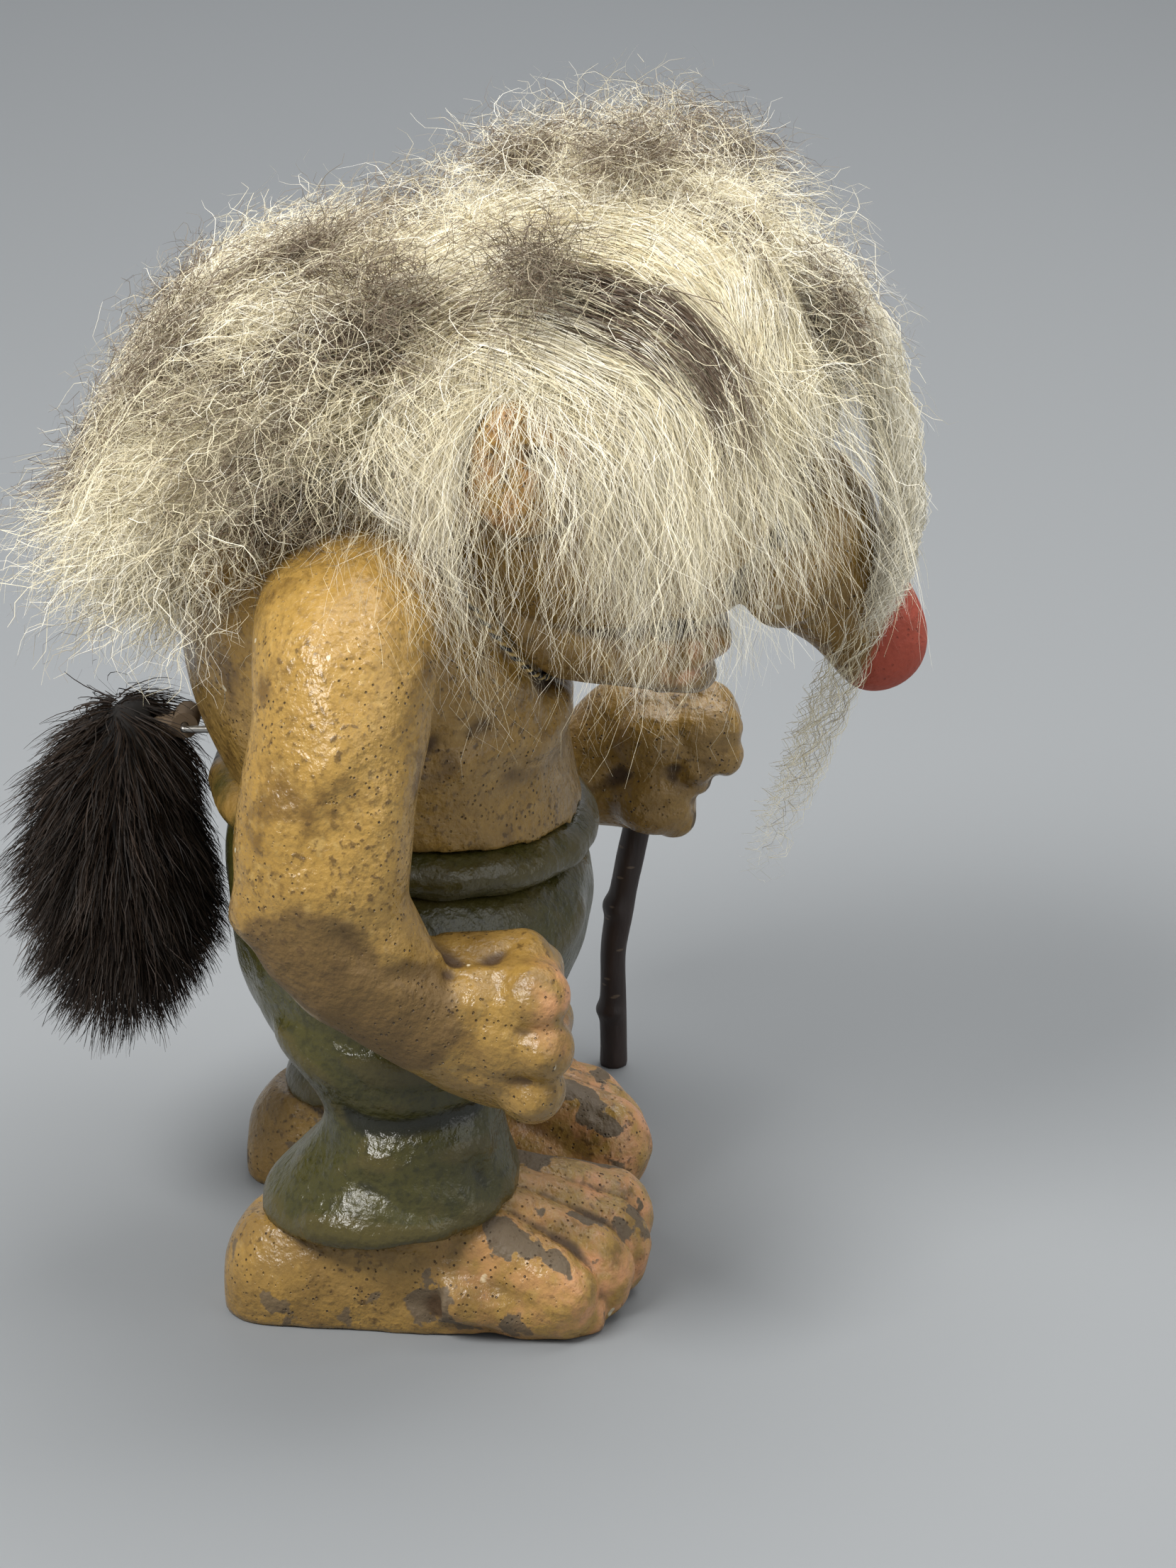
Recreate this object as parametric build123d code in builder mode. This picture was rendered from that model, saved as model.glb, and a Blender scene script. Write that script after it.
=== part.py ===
from build123d import *
import os
from math import cos, radians, sin

# Folk troll: a painted cast figure with a wool wig, a fur tail and a twig for a stick.
# Millimetres. +Z is up, the figure looks along -Y and its left hand is on +X.
# The origin lies on the floor, under the middle of the whole figure.
# Points on the midline are (forward, height); other points are (side, forward, height).

origin_forward = 7.0  # from the middle of the feet to the middle of the whole figure

# Fits
dowel_diameter = 8.0
dowel_depth = 11.0  # into each casting
dowel_fit = 0.1  # all round, and at each end
eye_fit = 0.1
cord_fit = 0.15
stick_fit = 0.2
staple_fit = 0.1
tooth_fit = 0.1

# Waist: the top face of the waistband, lower in front
waist_centre = (-5.5, 100.0)
waist_tilt = 8.2
waist_half_depth = 35.0
waist_half_width = 41.0
band_height = 9.0
band_bulge = 3.6  # how far the roll stands out past the torso
band_crease = 1.6  # how far the trousers draw in under the roll

# Neck: a round face that looks forward and up
neck_centre = (6.7, 151.0)
neck_pitch = 32.4  # of its axis above the horizontal
neck_radius = 32.0
neck_collar = 3.0  # straight stretch behind the face, where the cord lies
cord_diameter = 1.3

# Torso rings above the waist: front point, back point, half width
torso_rings = [
    ((26.0, 111.0), (-47.0, 121.0), 44.0),
    ((27.0, 117.0), (-47.0, 148.0), 46.0),
    ((26.5, 120.5), (-34.0, 172.0), 42.0),
]

# Trousers: seat and belly rings from the crotch up, then leg rings from the cuff up
seat_rings = [
    ((8.0, 45.0), (-20.0, 42.5), 18.0),
    ((15.0, 50.0), (-28.0, 46.5), 32.0),
    ((24.0, 57.0), (-36.5, 55.0), 43.0),
    ((29.0, 66.0), (-40.0, 67.0), 47.0),
    ((31.0, 79.0), (-41.5, 82.0), 46.5),
]
leg_side = 29.0  # from the midline to the middle of a leg and foot
cuff_front = (16.7, 25.7)
cuff_back = (-34.0, 20.0)
cuff_half_width = 23.0
leg_rings = [
    ((16.0, 31.5), (-31.5, 27.5), 22.3),
    ((13.5, 45.0), (-21.5, 43.0), 17.5),
    ((16.5, 56.0), (-28.0, 53.0), 19.0),
    ((18.0, 64.0), (-30.0, 63.0), 16.0),
]

# Feet: forward, half width, height
foot_rings = [
    (-42.0, 5.0, 9.0),
    (-39.5, 10.0, 16.0),
    (-33.0, 13.5, 23.0),
    (-18.0, 15.5, 30.0),
    (0.0, 18.0, 31.0),
    (14.0, 20.0, 26.0),
    (26.0, 19.5, 18.0),
    (33.0, 15.0, 11.0),
]
foot_belly = 0.3  # height of the widest line, as a share of the foot's height there
# Toes: place across the foot from its outer side, tip, radius
toes = [
    (-15.5, 31.0, 6.2),
    (-6.5, 38.0, 6.8),
    (3.0, 41.5, 7.2),
    (13.0, 42.0, 8.2),
]
toe_length = 24.0
toe_sink = 0.8  # how far a toe's round underside is flattened by the floor
toe_slope = 8.0

# Arms: side, forward, height, half thickness, half depth
right_arm_rings = [
    (-34.0, -12.0, 147.0, 15.0, 17.0),
    (-47.0, -13.0, 145.0, 16.0, 18.0),
    (-58.0, -14.0, 137.0, 15.5, 16.5),
    (-65.0, -16.0, 123.5, 14.5, 15.8),
    (-68.5, -17.5, 110.0, 14.0, 16.2),
    (-69.0, -16.0, 98.0, 13.5, 15.0),
    (-67.5, -8.0, 86.5, 12.5, 12.6),
    (-65.5, 2.5, 77.5, 11.0, 11.2),
    (-64.0, 10.0, 75.0, 11.5, 15.0),
    (-64.0, 17.0, 74.0, 11.0, 16.5),
    (-64.0, 22.0, 73.5, 8.0, 13.0),
]
left_arm_rings = [
    (34.0, -12.0, 147.0, 15.0, 17.0),
    (47.0, -13.0, 145.0, 16.0, 18.0),
    (58.0, -14.0, 137.0, 15.5, 16.5),
    (65.5, -14.5, 122.0, 14.5, 15.5),
    (70.0, -14.0, 106.0, 14.0, 15.5),
    (71.5, -8.0, 88.0, 13.0, 13.5),
    (72.5, 4.0, 76.0, 12.0, 12.0),
    (73.0, 17.0, 72.0, 11.0, 11.0),
    (73.0, 27.0, 73.0, 11.0, 12.0),
    (73.0, 36.0, 76.0, 11.5, 16.5),
    (73.0, 45.0, 77.5, 11.5, 17.0),
    (73.0, 50.5, 78.0, 8.5, 13.0),
]
finger_radius = 5.2
finger_span = 13.0  # straight length of a curled finger across the fist
right_fingers = [(-64.0, 20.5, 84.0), (-64.0, 22.0, 74.0), (-64.0, 20.0, 64.0)]
left_fingers = [(73.0, 52.0, 82.5), (73.0, 51.5, 73.5), (73.0, 48.5, 65.5)]
thumb_radius = 6.5
thumb_length = 15.0
right_thumb_tip = (-60.0, 17.5, 86.0)
left_thumb_tip = (70.0, 56.0, 88.0)
thumb_droop = 6.0

# Stick: a twig through the left fist, straight to its bend and then down to the floor
stick_diameter = 6.2
stick_grip = (73.0, 43.5, 77.0)
stick_lean = 9.8  # forward, from upright
stick_splay = -5.2  # sideways, from upright
stick_above_grip = 16.0
stick_below_grip = 46.7  # to the bend
stick_bend_radius = 60.0
stick_foot = (80.0, 35.6, -2.0)

# Head: skull rings at a place forward, with middle height, half height and half width
skull_rings = [
    (-13.0, 174.0, 8.0, 9.0),
    (-10.0, 173.0, 18.0, 19.0),
    (0.0, 170.0, 29.5, 29.5),
    (15.0, 167.0, 35.5, 36.0),
    (30.0, 166.0, 36.5, 37.5),
    (45.0, 168.0, 33.5, 35.5),
    (57.0, 169.0, 26.5, 29.5),
    (65.0, 170.0, 18.0, 21.0),
    (69.0, 170.0, 9.0, 11.0),
]
jaw_rings = [
    (5.0, 143.0, 17.0, 27.0),
    (20.0, 138.5, 15.5, 27.0),
    (34.0, 132.5, 11.0, 23.0),
    (45.0, 126.5, 7.5, 17.0),
    (51.0, 123.3, 5.0, 11.5),
    (54.0, 122.3, 2.2, 5.5),
]
lip_rings = [
    (36.0, 148.0, 14.0, 25.0),
    (47.0, 146.5, 11.5, 20.0),
    (56.0, 144.0, 8.5, 14.0),
    (60.0, 143.0, 5.0, 8.0),
]
# Nose: underside point, ridge point, half width
nose_rings = [
    ((54.0, 141.0), (68.0, 178.0), 15.0),
    ((64.0, 134.5), (79.5, 164.0), 13.0),
    ((72.5, 127.5), (87.0, 150.0), 11.5),
    ((79.0, 121.0), (92.0, 140.0), 10.5),
    ((83.5, 118.0), (95.3, 132.5), 9.3),
    ((87.5, 118.0), (95.6, 127.0), 6.3),
    ((90.5, 119.2), (94.4, 123.2), 2.8),
]
nostril = (11.0, 66.5, 142.5)
nostril_radius = 8.0
brow = (17.0, 60.5, 183.5)
brow_radius = 8.5
mouth_centre = (51.0, 134.0)
mouth_half_length = 13.0
mouth_half_height = 2.6
mouth_half_width = 16.0
mouth_droop = 32.0
tooth_root = (-5.0, 52.6, 134.5)
tooth_radius = 2.6
tooth_length = 4.4
tooth_seat = 3.0
# Ear rings from the head out: side, forward, height, half depth, half height
ear_rings = [
    (31.0, 21.0, 172.0, 7.0, 10.0),
    (39.0, 19.0, 174.0, 9.0, 13.0),
    (44.5, 17.0, 175.5, 8.5, 12.5),
    (47.5, 16.0, 176.5, 4.5, 7.5),
]
ear_hollow = (51.0, 20.0, 175.0)
ear_hollow_radius = 7.5
eye_centre = (18.0, 57.0, 172.5)
eye_radius = 5.6
eye_hollow = (20.5, 66.5, 171.0)
eye_hollow_radius = 8.6

# Wig: two pelts on the head, each a hide with wool on it
hide_thickness = 1.2
parting_forward = -2.0
hairline_back = (-14.0, 172.0)
hairline_front = (84.0, 188.0)
fringe_back = (-14.0, 172.0)
fringe_front = (84.0, 166.0)
crown_rings = [
    (-9.0, 187.0, 9.0, 20.0),
    (-5.0, 188.0, 16.0, 31.0),
    (4.0, 187.0, 24.0, 40.0),
    (18.0, 185.0, 34.0, 46.0),
    (34.0, 182.0, 43.0, 49.0),
    (47.0, 180.0, 46.0, 49.0),
    (58.0, 179.0, 41.0, 46.0),
    (68.0, 178.0, 31.0, 39.0),
    (77.0, 178.0, 19.0, 28.0),
    (83.0, 179.0, 8.0, 13.0),
]
# Mane rings: lower point, upper point, half width
mane_rings = [
    ((4.0, 166.0), (0.0, 203.0), 34.0),
    ((-18.0, 162.0), (-22.0, 204.0), 42.0),
    ((-34.0, 152.0), (-44.0, 192.0), 45.0),
    ((-42.0, 143.0), (-58.5, 172.0), 42.0),
    ((-46.0, 135.0), (-60.5, 153.0), 34.0),
    ((-48.0, 130.0), (-57.0, 140.0), 22.0),
]
# Forelock: side, forward, height, half width, half thickness
forelock_rings = [
    (1.0, 87.8, 187.0, 8.0, 4.0),
    (-2.0, 88.2, 172.0, 8.0, 4.0),
    (-6.5, 88.2, 154.0, 7.0, 3.5),
    (-12.0, 84.5, 138.0, 6.0, 3.2),
    (-13.5, 76.0, 122.0, 4.6, 2.7),
    (-12.0, 68.5, 106.0, 3.4, 2.1),
    (-10.0, 64.0, 93.0, 2.2, 1.5),
    (-9.0, 62.0, 84.0, 1.0, 0.8),
]

# Tail: a rolled hide with fur on it, hung on a wire staple in the back
staple_centre = (-48.6, 111.5)
staple_wire = 1.4
staple_span = 11.0
staple_leg = 14.0
tail_eye_radius = 2.6
tail_eye_length = 7.0
tail_hide_rings = [
    (0.0, -50.0, 111.0, 2.4, 2.4),
    (0.0, -56.0, 107.5, 3.6, 3.2),
    (0.0, -62.0, 97.0, 4.4, 4.0),
    (0.0, -63.5, 82.0, 4.2, 4.0),
    (0.0, -62.0, 66.0, 3.0, 3.0),
]
# Fur rings: point towards the body, outer point, half width
tail_fur_rings = [
    ((-51.0, 113.5), (-57.5, 116.0), 5.0),
    ((-47.5, 106.0), (-65.5, 113.0), 14.0),
    ((-45.0, 95.0), (-75.0, 100.0), 19.0),
    ((-44.2, 81.0), (-81.0, 81.0), 21.0),
    ((-45.0, 67.0), (-80.0, 62.0), 19.0),
    ((-49.0, 56.0), (-75.0, 49.0), 14.0),
    ((-57.0, 49.5), (-70.5, 45.0), 7.0),
]


def spot(side, forward, height):
    return Vector(side, origin_forward - forward, height)


def midline_ring(first, second, half_width, grow=0.0, side=0.0):
    # An ellipse square to the midline plane, from one point of its outline to the opposite one
    start = spot(side, *first)
    across = spot(side, *second) - start
    across_x = Vector(1, 0, 0)
    plane = Plane(start + across * 0.5, across_x, across_x.cross(across))
    return oval(plane, half_width + grow, across.length / 2 + grow)


def upright_ring(forward, height, half_height, half_width, grow=0.0):
    # An ellipse that faces forward, grown all round and out past its ends
    return midline_ring(
        (forward, height - half_height), (forward, height + half_height), half_width, grow
    )


def limb_rings(rings, start_axis):
    # Ellipses square to a path, with one axis carried along the path so that they don't twist
    points = [spot(*ring[:3]) for ring in rings]
    depth_axis = start_axis
    sketches = []
    for index, ring in enumerate(rings):
        before = points[max(index - 1, 0)]
        after = points[min(index + 1, len(points) - 1)]
        way = (after - before).normalized()
        depth_axis = (depth_axis - way * depth_axis.dot(way)).normalized()
        sketches.append(oval(Plane(points[index], depth_axis, way), ring[4], ring[3]))
    return sketches


def oval(plane, half_x, half_y):
    with BuildSketch(plane) as ring:
        Ellipse(half_x, half_y)
    return ring.sketch


def mirrored(point, sign):
    return (sign * point[0], point[1], point[2])


forward_axis = Vector(0, -1, 0)
up_axis = Vector(0, 0, 1)
side_poles = (0, 90, 0)  # turns a sphere so that its poles point to the sides


def pitched(angle):
    # A way that points forward and up
    return forward_axis * cos(radians(angle)) + up_axis * sin(radians(angle))


# Shared joint planes
waist_plane = Plane(spot(0, *waist_centre), (1, 0, 0), pitched(90 - waist_tilt))
band_bottom_plane = waist_plane.offset(-band_height)
neck_plane = Plane(spot(0, *neck_centre), (1, 0, 0), pitched(neck_pitch))
collar_plane = neck_plane.offset(-neck_collar)
cord_plane = neck_plane.offset(-neck_collar / 2)
cord_loop_radius = neck_radius + cord_diameter / 2 + cord_fit


def cuff_plane(side):
    front = spot(side, *cuff_front)
    across = spot(side, *cuff_back) - front
    return Plane(front + across * 0.5, (1, 0, 0), Vector(1, 0, 0).cross(across))


def shoulder_plane(rings):
    # Where a shoulder dowel is centred: on the arm's second ring, along the arm
    start = spot(*rings[0][:3])
    middle = spot(*rings[1][:3])
    return Plane(middle, forward_axis, middle - start)


def dowel_hole(plane):
    with Locations(plane):
        Cylinder(
            dowel_diameter / 2 + dowel_fit, 2 * (dowel_depth + dowel_fit), mode=Mode.SUBTRACT
        )


def dowel(plane):
    with BuildPart(plane) as peg:
        Cylinder(dowel_diameter / 2, 2 * dowel_depth)
        chamfer(peg.edges().filter_by(GeomType.CIRCLE), dowel_diameter / 16)
    return peg


def ear_ring(sign, side, forward, height, half_depth, half_height):
    plane = Plane(spot(sign * side, forward, height), forward_axis, (1, 0, 0))
    return oval(plane, half_depth, half_height)


def foot_ring(sign, forward, half_width, height):
    middle = spot(sign * leg_side, forward, height * foot_belly)
    return oval(Plane(middle, (1, 0, 0), forward_axis), half_width, height * (1 - foot_belly))


def band_ring(turn):
    # One ring of the waistband's round edge, from its bottom face at -1 to its top face at 1
    reach = band_bulge * (1 - turn * turn)
    plane = waist_plane.offset(-band_height * (1 - turn) / 2)
    return oval(plane, waist_half_width + reach, waist_half_depth + reach)


pieces = {}

# Whole forms that the finished pieces are cut from and cut by
with BuildPart() as torso_form:
    torso_sketches = [midline_ring(*ring) for ring in torso_rings]
    waist_ring = oval(waist_plane, waist_half_width, waist_half_depth)
    loft(sections=[waist_ring, *torso_sketches, oval(collar_plane, neck_radius, neck_radius)])
    with Locations(collar_plane):
        Cylinder(neck_radius, neck_collar, align=(Align.CENTER, Align.CENTER, Align.MIN))

with BuildPart() as skull_cap:
    loft(sections=[upright_ring(*ring, grow=hide_thickness) for ring in skull_rings])
    split(bisect_by=neck_plane, keep=Keep.TOP)

with BuildPart() as head_form:
    loft(sections=[upright_ring(*ring) for ring in skull_rings])
    loft(sections=[upright_ring(*ring) for ring in jaw_rings])
    loft(sections=[upright_ring(*ring) for ring in lip_rings])
    loft(sections=[midline_ring(*ring) for ring in nose_rings])
    for sign in (-1, 1):
        with Locations(spot(*mirrored(nostril, sign))):
            Sphere(nostril_radius, rotation=side_poles)
        with Locations(spot(*mirrored(brow, sign))):
            Sphere(brow_radius, rotation=side_poles)
        loft(sections=[ear_ring(sign, *ring) for ring in ear_rings])
        with Locations(spot(*mirrored(ear_hollow, sign))):
            Sphere(ear_hollow_radius, rotation=side_poles, mode=Mode.SUBTRACT)
        with Locations(spot(*mirrored(eye_hollow, sign))):
            Sphere(eye_hollow_radius, rotation=side_poles, mode=Mode.SUBTRACT)
    mouth_plane = Plane(spot(0, *mouth_centre), forward_axis, (-1, 0, 0))
    with BuildSketch(mouth_plane.rotated((0, 0, -mouth_droop))):
        Ellipse(mouth_half_length, mouth_half_height)
    extrude(amount=mouth_half_width, both=True, mode=Mode.SUBTRACT)
    split(bisect_by=neck_plane, keep=Keep.TOP)

# Castings
with BuildPart() as torso:
    add(torso_form.part)
    with Locations(cord_plane):
        Torus(cord_loop_radius, cord_diameter / 2 + cord_fit, mode=Mode.SUBTRACT)
    dowel_hole(neck_plane)
    dowel_hole(waist_plane)
    dowel_hole(shoulder_plane(right_arm_rings))
    dowel_hole(shoulder_plane(left_arm_rings))
    with Locations(spot(0, *staple_centre)):
        for side in (-1, 1):
            with Locations((side * staple_span / 2, -staple_leg / 2, 0)):
                Cylinder(staple_wire / 2, staple_leg, rotation=(90, 0, 0), mode=Mode.SUBTRACT)
pieces["torso"] = torso

with BuildPart() as waistband:
    loft(sections=[band_ring(turn) for turn in (-1, -0.6, 0, 0.6, 1)])
    dowel_hole(waist_plane)
pieces["waistband"] = waistband

with BuildPart() as trousers:
    seat_sketches = [midline_ring(*ring) for ring in seat_rings]
    top_ring = oval(band_bottom_plane, waist_half_width - band_crease, waist_half_depth - band_crease)
    loft(sections=[*seat_sketches, top_ring])
    for side in (-leg_side, leg_side):
        cuff = midline_ring(cuff_front, cuff_back, cuff_half_width, side=side)
        loft(sections=[cuff, *[midline_ring(*ring, side=side) for ring in leg_rings]])
    dowel_hole(waist_plane)
    dowel_hole(cuff_plane(-leg_side))
    dowel_hole(cuff_plane(leg_side))
pieces["trousers"] = trousers

for name, sign in (("right_foot", -1), ("left_foot", 1)):
    with BuildPart() as foot:
        loft(sections=[foot_ring(sign, *ring) for ring in foot_rings])
        for across, tip, radius in toes:
            toe_middle = spot(sign * (leg_side - across), tip - radius, radius - toe_sink)
            with Locations(Plane(toe_middle, (1, 0, 0), pitched(180 - toe_slope))):
                Sphere(radius)
                Cylinder(radius, toe_length, align=(Align.CENTER, Align.CENTER, Align.MIN))
        split(bisect_by=cuff_plane(sign * leg_side), keep=Keep.BOTTOM)
        split(bisect_by=Plane.XY, keep=Keep.TOP)
        dowel_hole(cuff_plane(sign * leg_side))
    pieces[name] = foot

arms = {
    "right_arm": (right_arm_rings, right_fingers, right_thumb_tip),
    "left_arm": (left_arm_rings, left_fingers, left_thumb_tip),
}
stick_way = (pitched(90 - stick_lean) + Vector(1, 0, 0) * sin(radians(stick_splay))).normalized()
stick_axis = Plane(spot(*stick_grip), forward_axis, stick_way)
for name, (rings, fingers, thumb_tip) in arms.items():
    with BuildPart() as arm:
        loft(sections=limb_rings(rings, forward_axis))
        for finger in fingers:
            with Locations(Plane(spot(*finger), (0, 1, 0), (1, 0, 0))):
                Cylinder(finger_radius, finger_span)
                with Locations((0, 0, -finger_span / 2), (0, 0, finger_span / 2)):
                    Sphere(finger_radius)
        with Locations(Plane(spot(*thumb_tip), (1, 0, 0), pitched(180 + thumb_droop))):
            Sphere(thumb_radius)
            Cylinder(thumb_radius, thumb_length, align=(Align.CENTER, Align.CENTER, Align.MIN))
        add(torso_form.part, mode=Mode.SUBTRACT)
        dowel_hole(shoulder_plane(rings))
        if name == "left_arm":
            with Locations(stick_axis):
                Cylinder(stick_diameter / 2 + stick_fit, 4 * stick_above_grip, mode=Mode.SUBTRACT)
    pieces[name] = arm

with BuildPart() as head:
    add(head_form.part)
    dowel_hole(neck_plane)
    for sign in (-1, 1):
        with Locations(spot(*mirrored(eye_centre, sign))):
            Sphere(eye_radius + eye_fit, mode=Mode.SUBTRACT)
    with Locations(spot(*tooth_root)):
        Cylinder(tooth_radius + tooth_fit, 2 * (tooth_seat + tooth_fit), mode=Mode.SUBTRACT)
pieces["head"] = head

for name, sign in (("right_eye", -1), ("left_eye", 1)):
    with BuildPart(Plane(spot(*mirrored(eye_centre, sign)))) as eye:
        Sphere(eye_radius)
    pieces[name] = eye

with BuildPart(Plane(spot(*tooth_root))) as tooth:
    Cylinder(tooth_radius, tooth_seat, align=(Align.CENTER, Align.CENTER, Align.MIN))
    Cone(
        tooth_radius * 0.6, tooth_radius, tooth_length, align=(Align.CENTER, Align.CENTER, Align.MAX)
    )
pieces["tooth"] = tooth

# Dowels that hold the castings together
dowel_planes = {
    "neck_dowel": neck_plane,
    "waist_dowel": waist_plane,
    "right_shoulder_dowel": shoulder_plane(right_arm_rings),
    "left_shoulder_dowel": shoulder_plane(left_arm_rings),
    "right_ankle_dowel": cuff_plane(-leg_side),
    "left_ankle_dowel": cuff_plane(leg_side),
}
for name, plane in dowel_planes.items():
    pieces[name] = dowel(plane)

with BuildPart(cord_plane) as neck_cord:
    Torus(cord_loop_radius, cord_diameter / 2)
pieces["neck_cord"] = neck_cord

# Wig
hair_start = spot(0, *hairline_back)
hair_rise = spot(0, *hairline_front) - hair_start
hairline_plane = Plane(hair_start, (1, 0, 0), hair_rise.cross(Vector(1, 0, 0)))
fringe_start = spot(0, *fringe_back)
fringe_rise = spot(0, *fringe_front) - fringe_start
fringe_plane = Plane(fringe_start, (1, 0, 0), fringe_rise.cross(Vector(1, 0, 0)))
parting_plane = Plane(spot(0, parting_forward, 0), (1, 0, 0), forward_axis)

with BuildPart() as crown_hide:
    add(skull_cap.part)
    split(bisect_by=hairline_plane, keep=Keep.TOP)
    split(bisect_by=parting_plane, keep=Keep.TOP)
    add(head_form.part, mode=Mode.SUBTRACT)
pieces["crown_hide"] = crown_hide

with BuildPart() as nape_hide:
    add(skull_cap.part)
    split(bisect_by=hairline_plane, keep=Keep.TOP)
    split(bisect_by=parting_plane, keep=Keep.BOTTOM)
    add(head_form.part, mode=Mode.SUBTRACT)
pieces["nape_hide"] = nape_hide

with BuildPart() as crown_wool:
    loft(sections=[upright_ring(*ring) for ring in crown_rings])
    split(bisect_by=fringe_plane, keep=Keep.TOP)
    add(skull_cap.part, mode=Mode.SUBTRACT)
    add(head_form.part, mode=Mode.SUBTRACT)
    add(torso_form.part, mode=Mode.SUBTRACT)
    for sign in (-1, 1):
        with Locations(spot(*mirrored(eye_centre, sign))):
            Sphere(eye_radius + eye_fit, rotation=side_poles, mode=Mode.SUBTRACT)
pieces["crown_wool"] = crown_wool

with BuildPart() as nape_wool:
    loft(sections=[midline_ring(*ring) for ring in mane_rings])
    add(crown_wool.part, mode=Mode.SUBTRACT)
    add(skull_cap.part, mode=Mode.SUBTRACT)
    add(head_form.part, mode=Mode.SUBTRACT)
    add(torso_form.part, mode=Mode.SUBTRACT)
    for arm_name in arms:
        add(pieces[arm_name].part, mode=Mode.SUBTRACT)
    with Locations(cord_plane):
        Torus(cord_loop_radius, cord_diameter / 2 + cord_fit, mode=Mode.SUBTRACT)
pieces["nape_wool"] = nape_wool

with BuildPart() as forelock:
    loft(sections=limb_rings(forelock_rings, up_axis))
    add(head_form.part, mode=Mode.SUBTRACT)
pieces["forelock"] = forelock

# Stick
stick_top = spot(*stick_grip) + stick_way * stick_above_grip
stick_bend = spot(*stick_grip) - stick_way * stick_below_grip
with BuildPart() as stick:
    with BuildLine() as stick_line:
        FilletPolyline(stick_top, stick_bend, spot(*stick_foot), radius=stick_bend_radius)
    with BuildSketch(Plane(stick_top, forward_axis, stick_way * -1)):
        Circle(stick_diameter / 2)
    sweep(path=stick_line.line)
    split(bisect_by=Plane.XY, keep=Keep.TOP)
pieces["stick"] = stick

# Tail
with BuildPart(Plane(spot(0, *staple_centre))) as tail_staple:
    Cylinder(staple_wire / 2, staple_span, rotation=(0, 90, 0))
    for side in (-1, 1):
        with Locations((side * staple_span / 2, -staple_leg / 2, 0)):
            Cylinder(staple_wire / 2, staple_leg, rotation=(90, 0, 0))
        with Locations((side * staple_span / 2, 0, 0)):
            Sphere(staple_wire / 2)
pieces["tail_staple"] = tail_staple

with BuildPart() as tail_hide:
    loft(sections=limb_rings(tail_hide_rings, up_axis))
    with Locations(spot(0, *staple_centre)):
        Cylinder(tail_eye_radius, tail_eye_length, rotation=(0, 90, 0))
        Cylinder(
            staple_wire / 2 + staple_fit, tail_eye_length, rotation=(0, 90, 0), mode=Mode.SUBTRACT
        )
pieces["tail_hide"] = tail_hide

with BuildPart() as tail_fur:
    loft(sections=[midline_ring(*ring) for ring in tail_fur_rings])
    add(tail_hide.part, mode=Mode.SUBTRACT)
pieces["tail_fur"] = tail_fur

os.makedirs("parts", exist_ok=True)
for name, piece in pieces.items():
    piece.part.label = name
    export_step(piece.part, f"parts/{name}.step")
    print(name, len(piece.part.solids()), round(piece.part.volume))
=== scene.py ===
import math
import bmesh
import bpy
import numpy as np
from mathutils import Euler, Matrix, Vector
from mathutils.bvhtree import BVHTree


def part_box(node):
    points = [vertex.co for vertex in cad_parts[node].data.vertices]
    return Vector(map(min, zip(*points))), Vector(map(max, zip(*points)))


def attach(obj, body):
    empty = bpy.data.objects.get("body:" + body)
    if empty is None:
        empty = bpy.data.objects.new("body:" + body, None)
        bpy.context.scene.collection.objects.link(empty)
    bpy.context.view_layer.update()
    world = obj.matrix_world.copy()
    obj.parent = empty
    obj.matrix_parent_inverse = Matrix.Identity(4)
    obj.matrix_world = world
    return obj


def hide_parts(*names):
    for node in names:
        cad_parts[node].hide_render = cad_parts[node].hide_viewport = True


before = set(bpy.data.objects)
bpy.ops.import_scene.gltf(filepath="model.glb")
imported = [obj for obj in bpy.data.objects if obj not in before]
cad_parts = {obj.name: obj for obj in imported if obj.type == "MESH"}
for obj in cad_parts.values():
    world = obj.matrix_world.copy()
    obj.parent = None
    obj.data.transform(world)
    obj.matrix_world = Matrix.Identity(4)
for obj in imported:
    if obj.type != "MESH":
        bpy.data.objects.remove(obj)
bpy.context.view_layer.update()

mm = 0.001
originForward = 7.0  # millimetres from the frame's origin to the ankles
scene = bpy.context.scene
scene.view_settings.view_transform = "Standard"


def at(side, forward, height):
    return Vector((side, originForward - forward, height)) * mm


def measures(co):
    return co[..., 0] / mm, originForward - co[..., 1] / mm, co[..., 2] / mm


def link(ob):
    scene.collection.objects.link(ob)
    return ob


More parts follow.
